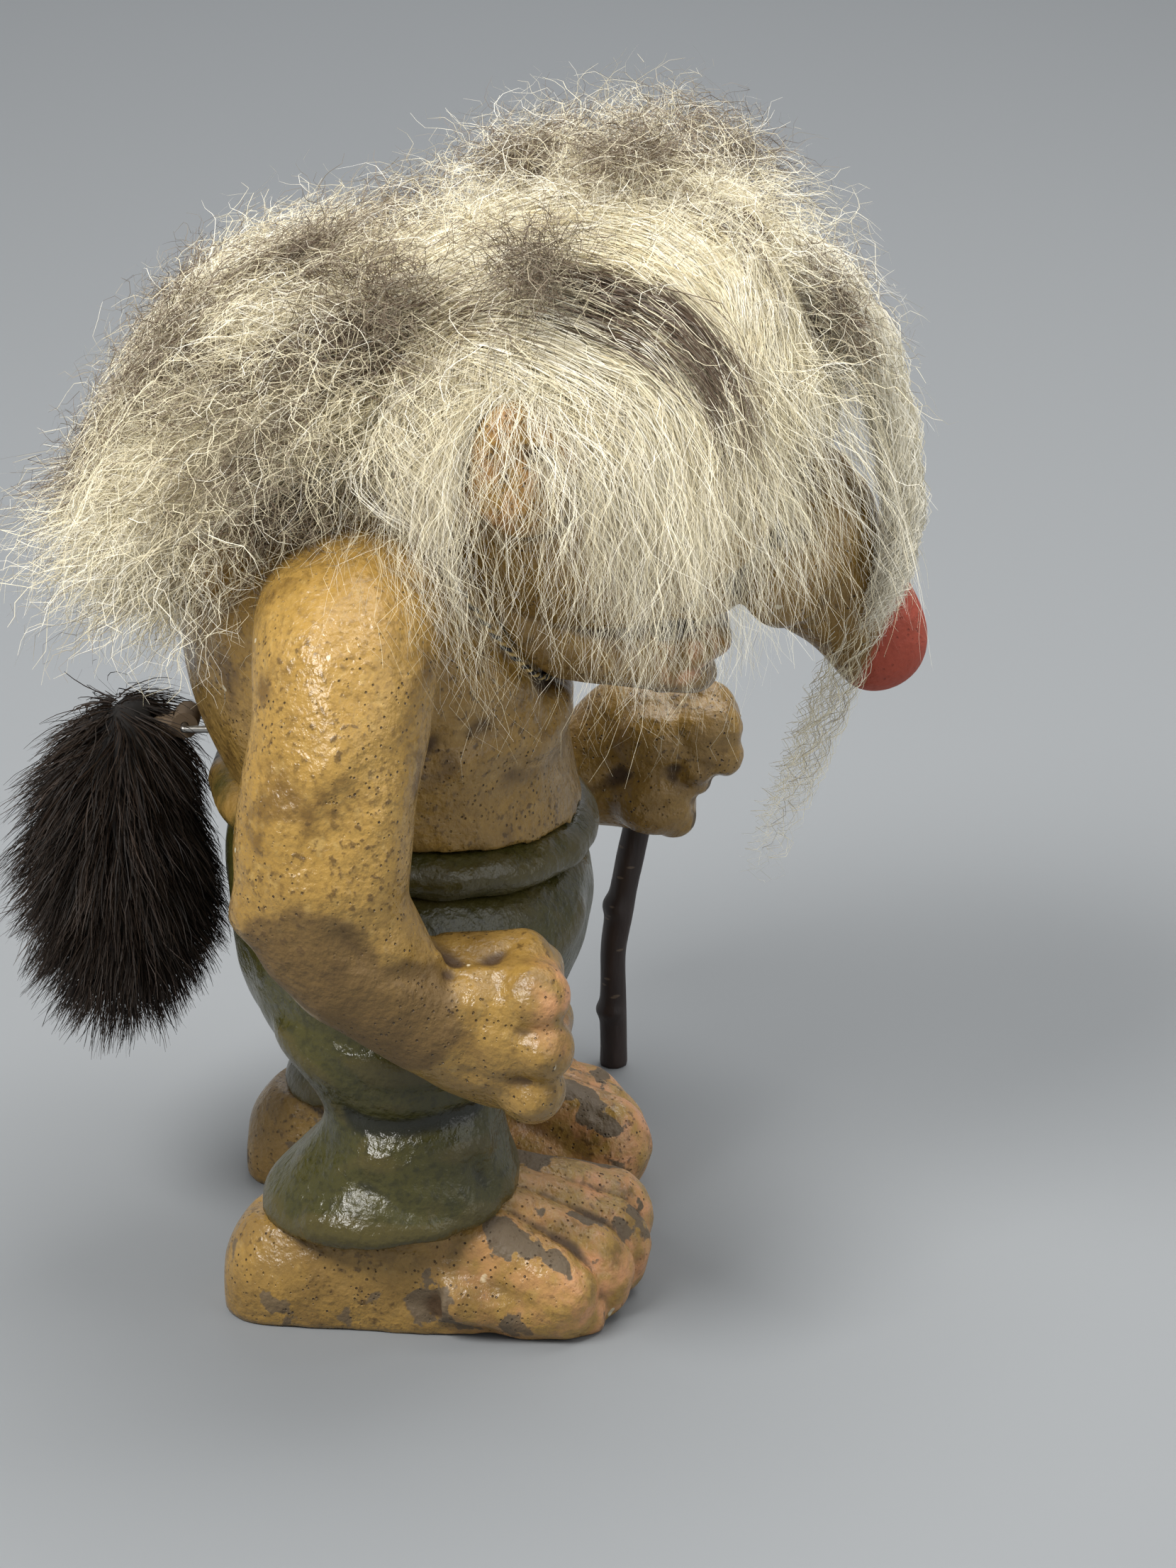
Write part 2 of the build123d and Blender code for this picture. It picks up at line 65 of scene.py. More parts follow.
class Paint:
    def __init__(self, name, **sockets):
        self.material = bpy.data.materials.new(name)
        self.material.use_nodes = True
        self.tree = self.material.node_tree
        self.shader = self.tree.nodes["Principled BSDF"]
        self.place = self.tree.nodes.new("ShaderNodeTexCoord").outputs["Object"]
        self.set(**sockets)

    def set(self, **sockets):
        for key, value in sockets.items():
            self.feed(self.shader.inputs[key.replace("_", " ")], value)

    def feed(self, socket, value):
        if isinstance(value, bpy.types.NodeSocket):
            self.tree.links.new(value, socket)
        elif socket.type == "RGBA" and len(value) == 3:
            socket.default_value = (*value, 1)
        else:
            socket.default_value = value

    def add(self, kind, sockets, **settings):
        node = self.tree.nodes.new(kind)
        for key, value in settings.items():
            setattr(node, key, value)
        for key, value in sockets.items():
            self.feed(node.inputs[key], value)
        return node

    def noise(self, scale, detail=3.0, place=None):
        sockets = {"Vector": place or self.place, "Scale": scale, "Detail": detail}
        return self.add("ShaderNodeTexNoise", sockets).outputs["Fac"]

    def cells(self, scale, place=None):
        return self.add("ShaderNodeTexVoronoi", {"Vector": place or self.place, "Scale": scale})

    def stretched(self, x, y, z):
        sockets = {"Vector": self.place, "Scale": (x, y, z)}
        return self.add("ShaderNodeMapping", sockets).outputs["Vector"]

    def mark(self, name):
        return self.add("ShaderNodeAttribute", {}, attribute_name=name).outputs["Fac"]

    def ramp(self, value, low, high, first=0.0, last=1.0):
        sockets = {"Value": value, "From Min": low, "From Max": high, "To Min": first, "To Max": last}
        return self.add("ShaderNodeMapRange", sockets, interpolation_type="SMOOTHSTEP").outputs["Result"]

    def math(self, operation, first, second):
        node = self.add("ShaderNodeMath", {0: first, 1: second}, operation=operation, use_clamp=True)
        return node.outputs["Value"]

    def times(self, first, second):
        return self.math("MULTIPLY", first, second)

    def mix(self, share, first, second):
        node = self.add("ShaderNodeMix", {}, data_type="RGBA")
        for key, value in ((0, share), (6, first), (7, second)):
            self.feed(node.inputs[key], value)
        return node.outputs[2]

    def bump(self, height, depth, under=None):
        sockets = {"Height": height, "Distance": depth * mm, "Strength": 1.0}
        if under:
            sockets["Normal"] = under
        return self.add("ShaderNodeBump", sockets).outputs["Normal"]


# Stage, camera and light
stageSettings = {
    "target": (0, 29.9, 98),
    "distance": 760,
    "elevation": 21,
    "frameHeight": 2212,  # pixels, as is the focal length
    "focalPixels": 5449,
    "floor": (0.212, 0.223, 0.232),
    "world": (0.80, 0.82, 0.85),
    "worldStrength": 0.44,
    "lights": (  # name, place and size in metres, power, colour, aim
        ("windowLight", (-0.70, 0.62, 1.20), (0.6, 0.45), 25, (1, 0.985, 0.96), None),
        ("fillLight", (-0.7, -1.1, 0.8), (1.2, 1.0), 5, (0.97, 0.99, 1), None),
        ("topLight", (0.30, -0.36, 1.50), (1.2, 1.2), 22, (1, 0.99, 0.97), None),
        ("farLight", (1.9, 0.0, 1.2), (1.4, 1.4), 10, (0.98, 0.99, 1), (1.95, 0.0, 0)),
    ),
}
lift = math.radians(stageSettings["elevation"])
target = at(*stageSettings["target"])
away = Vector((-math.cos(lift), 0, math.sin(lift)))
camera = link(bpy.data.objects.new("camera", bpy.data.cameras.new("camera")))
camera.location = target + away * stageSettings["distance"] * mm
camera.rotation_euler = (-away).to_track_quat("-Z", "Y").to_euler()
camera.data.sensor_fit = "VERTICAL"
camera.data.sensor_height = 24
camera.data.lens = camera.data.sensor_height * stageSettings["focalPixels"] / stageSettings["frameHeight"]
camera.data.clip_start = 0.05
scene.camera = camera

floorMesh = bpy.data.meshes.new("floor")
bm = bmesh.new()
bmesh.ops.create_grid(bm, x_segments=1, y_segments=1, size=6)
bm.to_mesh(floorMesh)
bm.free()
floor = link(bpy.data.objects.new("floor", floorMesh))
floorPaint = Paint("floorPaper", Base_Color=stageSettings["floor"], Roughness=0.85)
floorMesh.materials.append(floorPaint.material)

world = bpy.data.worlds.new("studio")
world.use_nodes = True
world.node_tree.nodes["Background"].inputs["Color"].default_value = (*stageSettings["world"], 1)
world.node_tree.nodes["Background"].inputs["Strength"].default_value = stageSettings["worldStrength"]
scene.world = world


def areaLight(name, place, size, power, colour, aim):
    data = bpy.data.lights.new(name, "AREA")
    data.shape = "RECTANGLE"
    data.size, data.size_y = size
    data.energy = power
    data.color = colour
    lamp = link(bpy.data.objects.new(name, data))
    lamp.location = place
    lamp.rotation_euler = (Vector(aim or target) - Vector(place)).to_track_quat("-Z", "Y").to_euler()


for light in stageSettings["lights"]:
    areaLight(*light)
print("stage ready")


# Clay: a copy of a casting, with lumps joined on, grooves pressed in and marks for the paint
def addBall(bm, centre, radii, turn=(0, 0, 0), fine=3):
    angles = Euler([math.radians(a) for a in turn])
    shape = Matrix.LocRotScale(at(*centre), angles, Vector(radii) * mm)
    bmesh.ops.create_icosphere(bm, subdivisions=fine, radius=1, matrix=shape)


def addRoll(bm, stations):
    for first, last in zip(stations, stations[1:]):
        first, last = np.array(first), np.array(last)
        gap = np.linalg.norm(last[:3] - first[:3])
        steps = max(2, math.ceil(gap / (0.35 * min(first[3], last[3]))))
        for k in range(steps + 1):
            spot = first + (last - first) * k / steps
            addBall(bm, spot[:3], (spot[3],) * 3, fine=2)


def evaluated(ob):
    graph = bpy.context.evaluated_depsgraph_get()
    return bpy.data.meshes.new_from_object(ob.evaluated_get(graph))


def softened(mesh, times):
    bm = bmesh.new()
    bm.from_mesh(mesh)
    for _ in range(times):
        bmesh.ops.smooth_vert(
            bm, verts=bm.verts, factor=0.5, use_axis_x=True, use_axis_y=True, use_axis_z=True
        )
    bm.to_mesh(mesh)
    bm.free()


def read(mesh, key):
    values = np.empty(len(mesh.vertices) * 3)
    mesh.vertices.foreach_get(key, values)
    return values.reshape(-1, 3)


def moved(mesh, co):
    mesh.vertices.foreach_set("co", co.ravel())
    mesh.update()


def neighbours(mesh):
    ends = np.empty(len(mesh.edges) * 2, dtype=np.int64)
    mesh.edges.foreach_get("vertices", ends)
    ends = ends.reshape(-1, 2)
    count = np.bincount(ends.ravel(), minlength=len(mesh.vertices))
    return ends, np.maximum(count, 1)


def averaged(values, ends, count):
    total = np.zeros_like(values)
    for axis in range(values.shape[1]):
        column = values[:, axis]
        total[:, axis] = np.bincount(ends[:, 0], column[ends[:, 1]], len(values))
        total[:, axis] += np.bincount(ends[:, 1], column[ends[:, 0]], len(values))
    return total / count[:, None]


def nearLine(co, points):
    best = np.full(len(co), np.inf)
    for a, b in zip(points, points[1:]):
        run = b - a
        along = np.clip((co - a) @ run / max(run @ run, 1e-12), 0, 1)
        best = np.minimum(best, np.linalg.norm(co - a - along[:, None] * run, axis=1))
    return best


def onSurface(tree, points, steps=6):
    line = []
    spots = [at(*p) for p in points]
    for a, b in zip(spots, spots[1:]):
        line += [tree.find_nearest(a.lerp(b, k / steps))[0] for k in range(steps)]
    line.append(tree.find_nearest(spots[-1])[0])
    return np.array(line)


def press(mesh, strokes):
    tree = BVHTree.FromPolygons(
        [v.co for v in mesh.vertices], [p.vertices for p in mesh.polygons]
    )
    co, normal = read(mesh, "co"), read(mesh, "normal")
    for width, depth, *points in strokes:
        if len(points) == 1:
            near = np.linalg.norm(co - np.array(tree.find_nearest(at(*points[0]))[0]), axis=1)
        else:
            near = nearLine(co, onSurface(tree, points))
        co += normal * (depth * mm * np.exp(-((near / (width * mm)) ** 2)))[:, None]
    moved(mesh, co)


def bothSides(strokes):
    flipped = [(w, d, *[(-s, f, h) for s, f, h in points]) for w, d, *points in strokes]
    return list(strokes) + flipped


def wobble(co, length, seed):
    rng = np.random.default_rng(seed)
    total = np.zeros(len(co))
    for _ in range(9):
        wave = rng.normal(size=3)
        wave *= 2 * math.pi / (length * mm * rng.uniform(0.7, 1.6) * np.linalg.norm(wave))
        total += np.sin(co @ wave + rng.uniform(0, 2 * math.pi))
    return total / 4


def setMark(mesh, name, values):
    layer = mesh.attributes.new(name, "FLOAT", "POINT")
    layer.data.foreach_set("value", np.clip(values, 0, 1).astype(np.float32))


def markHollows(mesh):
    ends, count = neighbours(mesh)
    co, normal = read(mesh, "co"), read(mesh, "normal")
    even = co
    for _ in range(14):
        even = averaged(even, ends, count)
    hollow = ((even - co) * normal).sum(1) / mm
    for _ in range(2):
        hollow = averaged(hollow[:, None], ends, count)[:, 0]
    setMark(mesh, "hollow", 0.5 + hollow)


def remeshed(name, node, voxel, soften, lumps=(), rolls=()):
    bm = bmesh.new()
    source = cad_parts[node]
    bm.from_mesh(source.data)
    bm.transform(source.matrix_world)
    bmesh.ops.remove_doubles(bm, verts=bm.verts, dist=0.002 * mm)
    for lump in lumps:
        addBall(bm, *lump)
    for roll in rolls:
        addRoll(bm, roll)
    rough = bpy.data.meshes.new(name + "Rough")
    bm.to_mesh(rough)
    bm.free()
    ob = link(bpy.data.objects.new(name, rough))
    remesh = ob.modifiers.new("oneSkin", "REMESH")
    remesh.mode = "VOXEL"
    remesh.voxel_size = voxel * mm
    mesh = evaluated(ob)
    ob.modifiers.clear()
    ob.data = mesh
    bpy.data.meshes.remove(rough)
    mesh.name = name
    softened(mesh, soften)
    return ob


def clay(name, node, voxel, soften, lively, seed, lumps=(), rolls=(), strokes=(), body="figure"):
    ob = remeshed(name, node, voxel, soften, lumps, rolls)
    mesh = ob.data
    press(mesh, strokes)
    co, normal = read(mesh, "co"), read(mesh, "normal")
    co += normal * (lively * mm * wobble(co, 14, seed))[:, None]
    co[:, 2] = np.maximum(co[:, 2], 0)  # nothing sinks into the floor
    moved(mesh, co)
    mesh.shade_smooth()
    markHollows(mesh)
    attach(ob, body)
    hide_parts(node)
    return ob


# Lacquered skin paint
# The dark olive-brown tone (0.200, 0.118, 0.032) is painted shade and the pale yellow tone (0.52, 0.36, 0.13)
# is painted glints
skinTones = {
    "ochre": (0.250, 0.143, 0.027), "honey": (0.460, 0.280, 0.072), "stain": (0.170, 0.095, 0.022),
    "speck": (0.130, 0.072, 0.018), "paintedGlint": (0.52, 0.36, 0.13), "paintedShade": (0.200, 0.118, 0.032),
    "flush": (0.60, 0.29, 0.135), "flake": (0.128, 0.090, 0.050), "cream": (0.55, 0.42, 0.25),
    "scuff": (0.100, 0.057, 0.018), "deep": (0.060, 0.031, 0.010), "pit": (0.040, 0.020, 0.007),
    "dirt": (0.075, 0.040, 0.012), "chip": (0.60, 0.52, 0.36),
    "redShade": (0.29, 0.040, 0.019), "redLight": (0.43, 0.074, 0.036),
}


def skinPaint():
    paint = Paint("lacqueredSkin", IOR=1.5)
    tones = skinTones
    tone = paint.mix(paint.noise(38), tones["ochre"], tones["honey"])
    tone = paint.mix(paint.ramp(paint.noise(110, 5), 0.52, 0.72), tone, tones["stain"])
    tone = paint.mix(paint.ramp(paint.noise(760, 6), 0.48, 0.70, 0.0, 0.42), tone, tones["speck"])
    # Painted glints: scattered pale yellow spots stand in for broken highlights on the lacquer
    tone = paint.mix(paint.ramp(paint.noise(430, 5), 0.55, 0.75, 0.0, 0.35), tone, tones["paintedGlint"])
    # Painted shade: the dark olive-brown tone below darkens the lower, tucked-in parts where shade falls
    paintedShade = paint.times(paint.mark("paintedShade"), paint.ramp(paint.noise(150, 4), 0.2, 0.6))
    tone = paint.mix(paintedShade, tone, tones["paintedShade"])
    flush = paint.times(paint.mark("flush"), paint.ramp(paint.noise(190, 4), 0.35, 0.65))
    tone = paint.mix(flush, tone, tones["flush"])
    worn = paint.mark("worn")
    flake = paint.math("ADD", paint.ramp(paint.noise(95, 7), 0.2, 0.8), paint.times(worn, 0.55))
    flake = paint.times(paint.ramp(flake, 0.93, 0.98), paint.ramp(worn, 0.05, 0.3))
    tone = paint.mix(flake, tone, tones["flake"])
    cream = paint.times(paint.ramp(worn, 0.6, 0.9), paint.ramp(paint.noise(130, 6), 0.60, 0.63))
    tone = paint.mix(cream, tone, tones["cream"])
    matte = paint.times(paint.mark("matte"), 0.75)
    scuff = paint.math("ADD", matte, paint.times(paint.noise(120, 6), 0.7))
    scuff = paint.ramp(scuff, 0.80, 1.0, 0.0, 0.72)
    tone = paint.mix(scuff, tone, tones["scuff"])
    deep = paint.ramp(paint.mark("hollow"), 0.60, 0.98)
    tone = paint.mix(deep, tone, tones["deep"])
    pores = paint.cells(1050)
    pit = paint.ramp(pores.outputs["Distance"], 0.14, 0.32, 1.0, 0.0)
    chosen = paint.add("ShaderNodeSeparateColor", {"Color": pores.outputs["Color"]}).outputs["Red"]
    pit = paint.times(pit, paint.ramp(chosen, 0.45, 0.95))
    pit = paint.times(pit, paint.ramp(paint.noise(60, 3), 0.34, 0.60))
    tone = paint.mix(pit, tone, tones["pit"])
    dirty = paint.ramp(paint.noise(34, 2), 0.42, 0.62, 0.15, 0.75)
    dirt = paint.times(paint.ramp(paint.noise(620, 6), 0.56, 0.68), dirty)
    tone = paint.mix(dirt, tone, tones["dirt"])
    chip = paint.ramp(paint.noise(210, 2), 0.745, 0.765)
    tone = paint.mix(chip, tone, tones["chip"])
    red = paint.mark("red")
    redTone = paint.mix(paint.noise(150, 4), tones["redShade"], tones["redLight"])
    tone = paint.mix(red, tone, redTone)
    dull = paint.math("MAXIMUM", paint.times(red, 0.8), scuff)
    dull = paint.math("MAXIMUM", dull, paint.times(flake, 0.8))
    dull = paint.math("MAXIMUM", dull, deep)
    rough = paint.ramp(paint.noise(75, 3), 0.35, 0.7, 0.20, 0.34)
    rough = paint.math("ADD", rough, paint.times(dull, 0.42))
    lump = paint.bump(paint.noise(620, 6), 0.45, paint.bump(paint.noise(165, 4), 1.1))
    paint.set(Base_Color=tone, Roughness=rough, Normal=paint.bump(pit, -0.35, lump))
    return paint.material


# Olive trouser paint, with skin paint run over the upper edge of the roll
oliveTones = {
    "shade": (0.032, 0.032, 0.007), "light": (0.072, 0.062, 0.014), "stain": (0.075, 0.056, 0.015),
    "speck": (0.022, 0.021, 0.006), "ridge": (0.085, 0.064, 0.018), "deep": (0.014, 0.014, 0.006),
    "over": (0.26, 0.155, 0.040),
}


def trouserPaint():
    paint = Paint("olivePaint", IOR=1.5)
    tones = oliveTones
    tone = paint.mix(paint.noise(45, 4), tones["shade"], tones["light"])
    tone = paint.mix(paint.ramp(paint.noise(130, 5), 0.55, 0.75, 0.0, 0.6), tone, tones["stain"])
    tone = paint.mix(paint.ramp(paint.noise(700, 6), 0.46, 0.66, 0.0, 0.55), tone, tones["speck"])
    # Painted highlight: the raised ridges of the folds are lightened
    tone = paint.mix(paint.ramp(paint.mark("hollow"), 0.25, 0.0, 0.0, 0.55), tone, tones["ridge"])
    tone = paint.mix(paint.ramp(paint.mark("hollow"), 0.62, 0.98), tone, tones["deep"])
    over = paint.times(paint.mark("over"), paint.ramp(paint.noise(120, 4), 0.25, 0.6))
    tone = paint.mix(over, tone, tones["over"])
    rough = paint.ramp(paint.noise(80, 3), 0.35, 0.7, 0.17, 0.33)
    lump = paint.bump(paint.noise(620, 6), 0.4, paint.bump(paint.noise(175, 4), 1.0))
    paint.set(Base_Color=tone, Roughness=rough, Normal=lump)
    return paint.material


skin = skinPaint()
olive = trouserPaint()


def dress(ob, material):
    ob.data.materials.clear()
    ob.data.materials.append(material)


def fade(values, low, high):
    t = np.clip((values - low) / (high - low), 0, 1)
    return t * t * (3 - 2 * t)


def spotMark(co, centre, inner, outer):
    gap = np.linalg.norm(co - np.array(at(*centre)), axis=1) / mm
    return 1 - fade(gap, inner, outer)


# Torso: sagging chest, belly roll, shoulder blades and spine furrow
torsoSettings = {
    "voxel": 1.15, "soften": 6, "lively": 0.3, "seed": 3,
    "lumps": [
        ((0, 16, 115), (30, 11, 8)),
        ((-22, -38, 158), (15, 10, 16)),
        ((22, -38, 158), (15, 10, 16)),
    ],
    "strokes": bothSides([  # width, depth and the points that the stroke runs through
        (4.0, -1.3, (-41, -2, 122), (-37, 12, 124), (-22, 24, 126), (-6, 27, 127)),
        (3.0, -1.0, (-43, 4, 138), (-41, 3, 128), (-42, 0, 120)),
        (3.5, 0.9, (-42, 8, 116), (-34, 22, 116), (-12, 31, 118)),
        (1.5, -0.8, (-40, 15, 133), (-37, 17, 141)),
    ]) + [(4, -1.6, (0, -52, 165), (0, -52, 140), (0, -49, 118))],
}
torso = clay("torsoSkin", "torso", **torsoSettings)
_, _, height = measures(read(torso.data, "co"))
# Painted shade: the torso is darkened towards the waist
setMark(torso.data, "paintedShade", 0.55 * fade(140 - height, 0, 30))
dress(torso, skin)

# Waistband roll, and where the skin paint runs over it
bandSettings = {
    "voxel": 1.0, "soften": 3, "lively": 0.35, "seed": 5,
    "strokes": [
        (1.6, -0.7, (-42, -6, 99), (-41, 8, 101), (-30, 22, 104)),
        (1.4, 0.5, (-44, 2, 103), (-38, 16, 106), (-20, 28, 108)),
    ],
}
overPaint = {"height": 100, "forward": -5.5, "lean": 8.2, "from": 2.2, "to": 5.0}
band = clay("waistRoll", "waistband", **bandSettings)
_, forward, height = measures(read(band.data, "co"))
slope = height - overPaint["height"]
slope -= (forward - overPaint["forward"]) * math.tan(math.radians(overPaint["lean"]))
setMark(band.data, "over", fade(slope, overPaint["from"], overPaint["to"]))
dress(band, olive)

# Trousers: knee creases, hem roll and seat folds
trouserSettings = {
    "voxel": 1.1, "soften": 5, "lively": 0.35, "seed": 7,
    "strokes": bothSides([
        (2.6, -1.3, (-47, -20, 44), (-47, 0, 46), (-40, 14, 47), (-28, 17, 47)),
        (3.2, 1.0, (-49, -22, 40), (-49, -4, 39), (-42, 12, 40)),
        (2.2, -0.9, (-50, -14, 36), (-52, -4, 30), (-50, 6, 27)),
        (2.2, -0.8, (-46, 10, 38), (-45, 14, 31), (-42, 17, 27)),
        (3.0, 1.1, (-51, -26, 27), (-53, -10, 24), (-50, 6, 25), (-40, 17, 28)),
        (2.4, -0.9, (-46, -28, 62), (-45, -12, 54), (-46, 4, 52)),
        (2.8, -1.0, (-40, 22, 62), (-46, 8, 60), (-47, -6, 62)),
        (3.5, 0.9, (-47, 10, 70), (-38, 26, 74), (-20, 33, 78)),
        (2.5, -1.0, (-20, 28, 60), (-10, 22, 50), (-6, 15, 44)),
    ]),
}
trousers = clay("trouserLegs", "trousers", **trouserSettings)
dress(trousers, olive)
print("torso and trousers ready")


# Feet: long rolled toes with furrows running back over the instep
footSettings = {
    "clay": {"voxel": 0.8, "soften": 5, "lively": 0.3},
    "legSide": 29,
    "toes": ((-15.0, 31, 8.4), (-6.0, 38, 8.8), (3.4, 41.5, 9.0), (13, 42.5, 9.8)),  # across, tip, radius
    "nail": 3.2,
}


def makeFoot(name, node, sign, seed):
    rolls, strokes = [], []
    toes = footSettings["toes"]
    for across, tip, radius in toes:
        side = sign * (footSettings["legSide"] - across)
        inward = sign * (footSettings["legSide"] - across * 0.72)
        rolls.append([
            (inward, tip - 31, 24 - 0.12 * abs(across), radius * 0.62),
            (inward, tip - 20, 17.5, radius * 0.85),
            (side, tip - 9, radius + 3.2, radius * 0.94),
            (side, tip - radius + 1, radius + 0.6, radius),
        ])
        strokes.append((1.6, -0.5, (side, tip - 11, 15), (side, tip - 10.5, 17)))
        strokes.append((footSettings["nail"], 0.5, (side, tip - 1, radius + 4)))
    for (a, tipA, _), (b, tipB, _) in zip(toes, toes[1:]):
        middle = sign * (footSettings["legSide"] - (a + b) / 2)
        back = sign * (footSettings["legSide"] - (a + b) * 0.36)
        front = min(tipA, tipB)
        strokes.append((1.4, -0.4, (middle, front + 2, 4), (middle, front - 5, 13), (back, front - 17, 21)))
        strokes.append((1.3, -0.2, (back, front - 16, 21), (back, front - 26, 26)))
    strokes.append((4, -1.2, (sign * 46, -4, 8), (sign * 44, 12, 5)))
    ob = clay(name, node, rolls=rolls, strokes=strokes, seed=seed, **footSettings["clay"])
    co = read(ob.data, "co")
    _, forward, height = measures(co)
    outer = spotMark(co, (sign * 48, 3, 10), 6, 17)
    toeTops = fade(forward, 0, 24) * fade(height, 10, 20)
    setMark(ob.data, "worn", np.maximum(outer, 0.25 + 0.4 * toeTops))
    # Painted shade: darker towards the back of the foot, under the trouser cuff
    setMark(ob.data, "paintedShade", 0.75 - 0.6 * fade(forward, 0, 26))
    setMark(ob.data, "flush", np.maximum(0.85 * fade(forward, 14, 32), 0.4 * fade(forward, -4, 12)))
    dress(ob, skin)


makeFoot("rightFootSkin", "right_foot", -1, 11)
makeFoot("leftFootSkin", "left_foot", 1, 13)
print("feet ready")

# Right arm: elbow, forearm, knuckles and finger creases
rightArmSettings = {
    "voxel": 0.75, "soften": 9, "lively": 0.35, "seed": 17,
    "strokes": [
        (1.7, -0.6, (-53, 21, 79), (-64, 27, 79), (-74, 20, 79)),
        (1.7, -0.6, (-53, 21, 69), (-64, 27, 69), (-74, 20, 69)),
        (1.6, -0.4, (-74, 18, 79), (-76, 8, 82)),
        (1.6, -0.4, (-74, 18, 69), (-76, 8, 70)),
        (2.6, 0.8, (-75, 19, 84)),
        (2.6, 0.8, (-75, 21, 74)),
        (2.6, 0.7, (-75, 19, 64)),
        (1.4, 0.8, (-70, 4, 92), (-70, 14, 89)),
        (5.0, 2.6, (-73, -34, 100)),
        (6.0, 0.9, (-81, -20, 108)),
        (2.4, -0.9, (-82, -14, 100), (-80, -6, 92), (-76, 2, 90)),
        (2.2, -0.8, (-60, -4, 100), (-62, 2, 94), (-68, 6, 92)),
        (5.0, -1.0, (-80, -14, 124), (-82, -16, 114)),
        (4.5, 1.0, (-80, -12, 136), (-81, -16, 130)),
        (2.0, -0.7, (-70, 4, 88), (-66, 12, 88), (-62, 17, 90)),
    ],
    "lumps": [
        ((-65, 7, 81), (11, 13, 9)),
        ((-66, 14, 75), (11, 10, 14)),
        ((-70, 20, 83), (6.5, 7, 7.5)),
        ((-71, 21, 74), (6.5, 7, 7.5)),
        ((-70, 19.5, 65.5), (6.5, 7, 7)),
    ],
}
rightArm = clay("rightArmSkin", "right_arm", **rightArmSettings)
co = read(rightArm.data, "co")
_, _, height = measures(co)
# Painted shade: darker at the wrist and on the lower part of the arm
wrist = 0.8 * spotMark(co, (-62, 10, 92), 4, 15)
setMark(rightArm.data, "paintedShade", np.maximum(wrist, 0.62 * fade(114 - height, 0, 22)))
setMark(rightArm.data, "flush", 0.9 * spotMark(co, (-70, 26, 82), 4, 12))
elbow = spotMark(co, (-80, -20, 94), 9, 19)
setMark(rightArm.data, "matte", np.maximum(elbow, spotMark(co, (-74, -6, 82), 9, 20)))
dress(rightArm, skin)

# Left arm: fist closed round the twig, with rolled fingers
leftArmSettings = {
    "voxel": 0.85, "soften": 4, "lively": 0.35, "seed": 19,
    "strokes": [
        (1.7, -1.0, (61, 53, 79.5), (73, 60, 79.5), (84, 52, 78)),
        (1.7, -0.8, (61, 53, 69.5), (73, 58, 69.5), (84, 50, 69.5)),
        (1.8, -1.0, (60, 50, 79), (59, 42, 79)),
        (1.6, -0.7, (60, 50, 69.5), (59, 42, 70)),
        (2.4, 1.0, (84, 48, 83)),
        (2.4, 1.0, (84, 48, 74)),
        (2.4, 1.0, (83, 45, 66)),
        (3.0, -1.3, (61, 36, 76), (62, 30, 72)),
        (2.2, -0.9, (70, 12, 86), (66, 16, 82), (62, 18, 76)),
    ],
    "lumps": [
        ((63.5, 45, 83), (5.5, 10, 8)),
        ((63.5, 44, 70), (5.5, 9, 8)),
    ],
    "rolls": [
        [(64, 53, 79.5, 6.5), (65.5, 57.5, 80, 6.0)],
        [(64, 53, 86.0, 6.5), (65.5, 57.5, 86, 6.0)],
        [(73, 55, 79.5, 5.8), (72.5, 57.5, 80, 5.8)],
        [(73, 55, 86.0, 5.8), (72.5, 57.5, 86, 5.8)],
    ],
}
leftArm = clay("leftArmSkin", "left_arm", **leftArmSettings)
co = read(leftArm.data, "co")
_, _, height = measures(co)
setMark(leftArm.data, "worn", 0.6 * spotMark(co, (66, 52, 70), 4, 12))
# Painted shade: darker on the lower part of the arm, towards the fist
setMark(leftArm.data, "paintedShade", 0.62 * fade(118 - height, 0, 25))
dress(leftArm, skin)
print("arms ready")

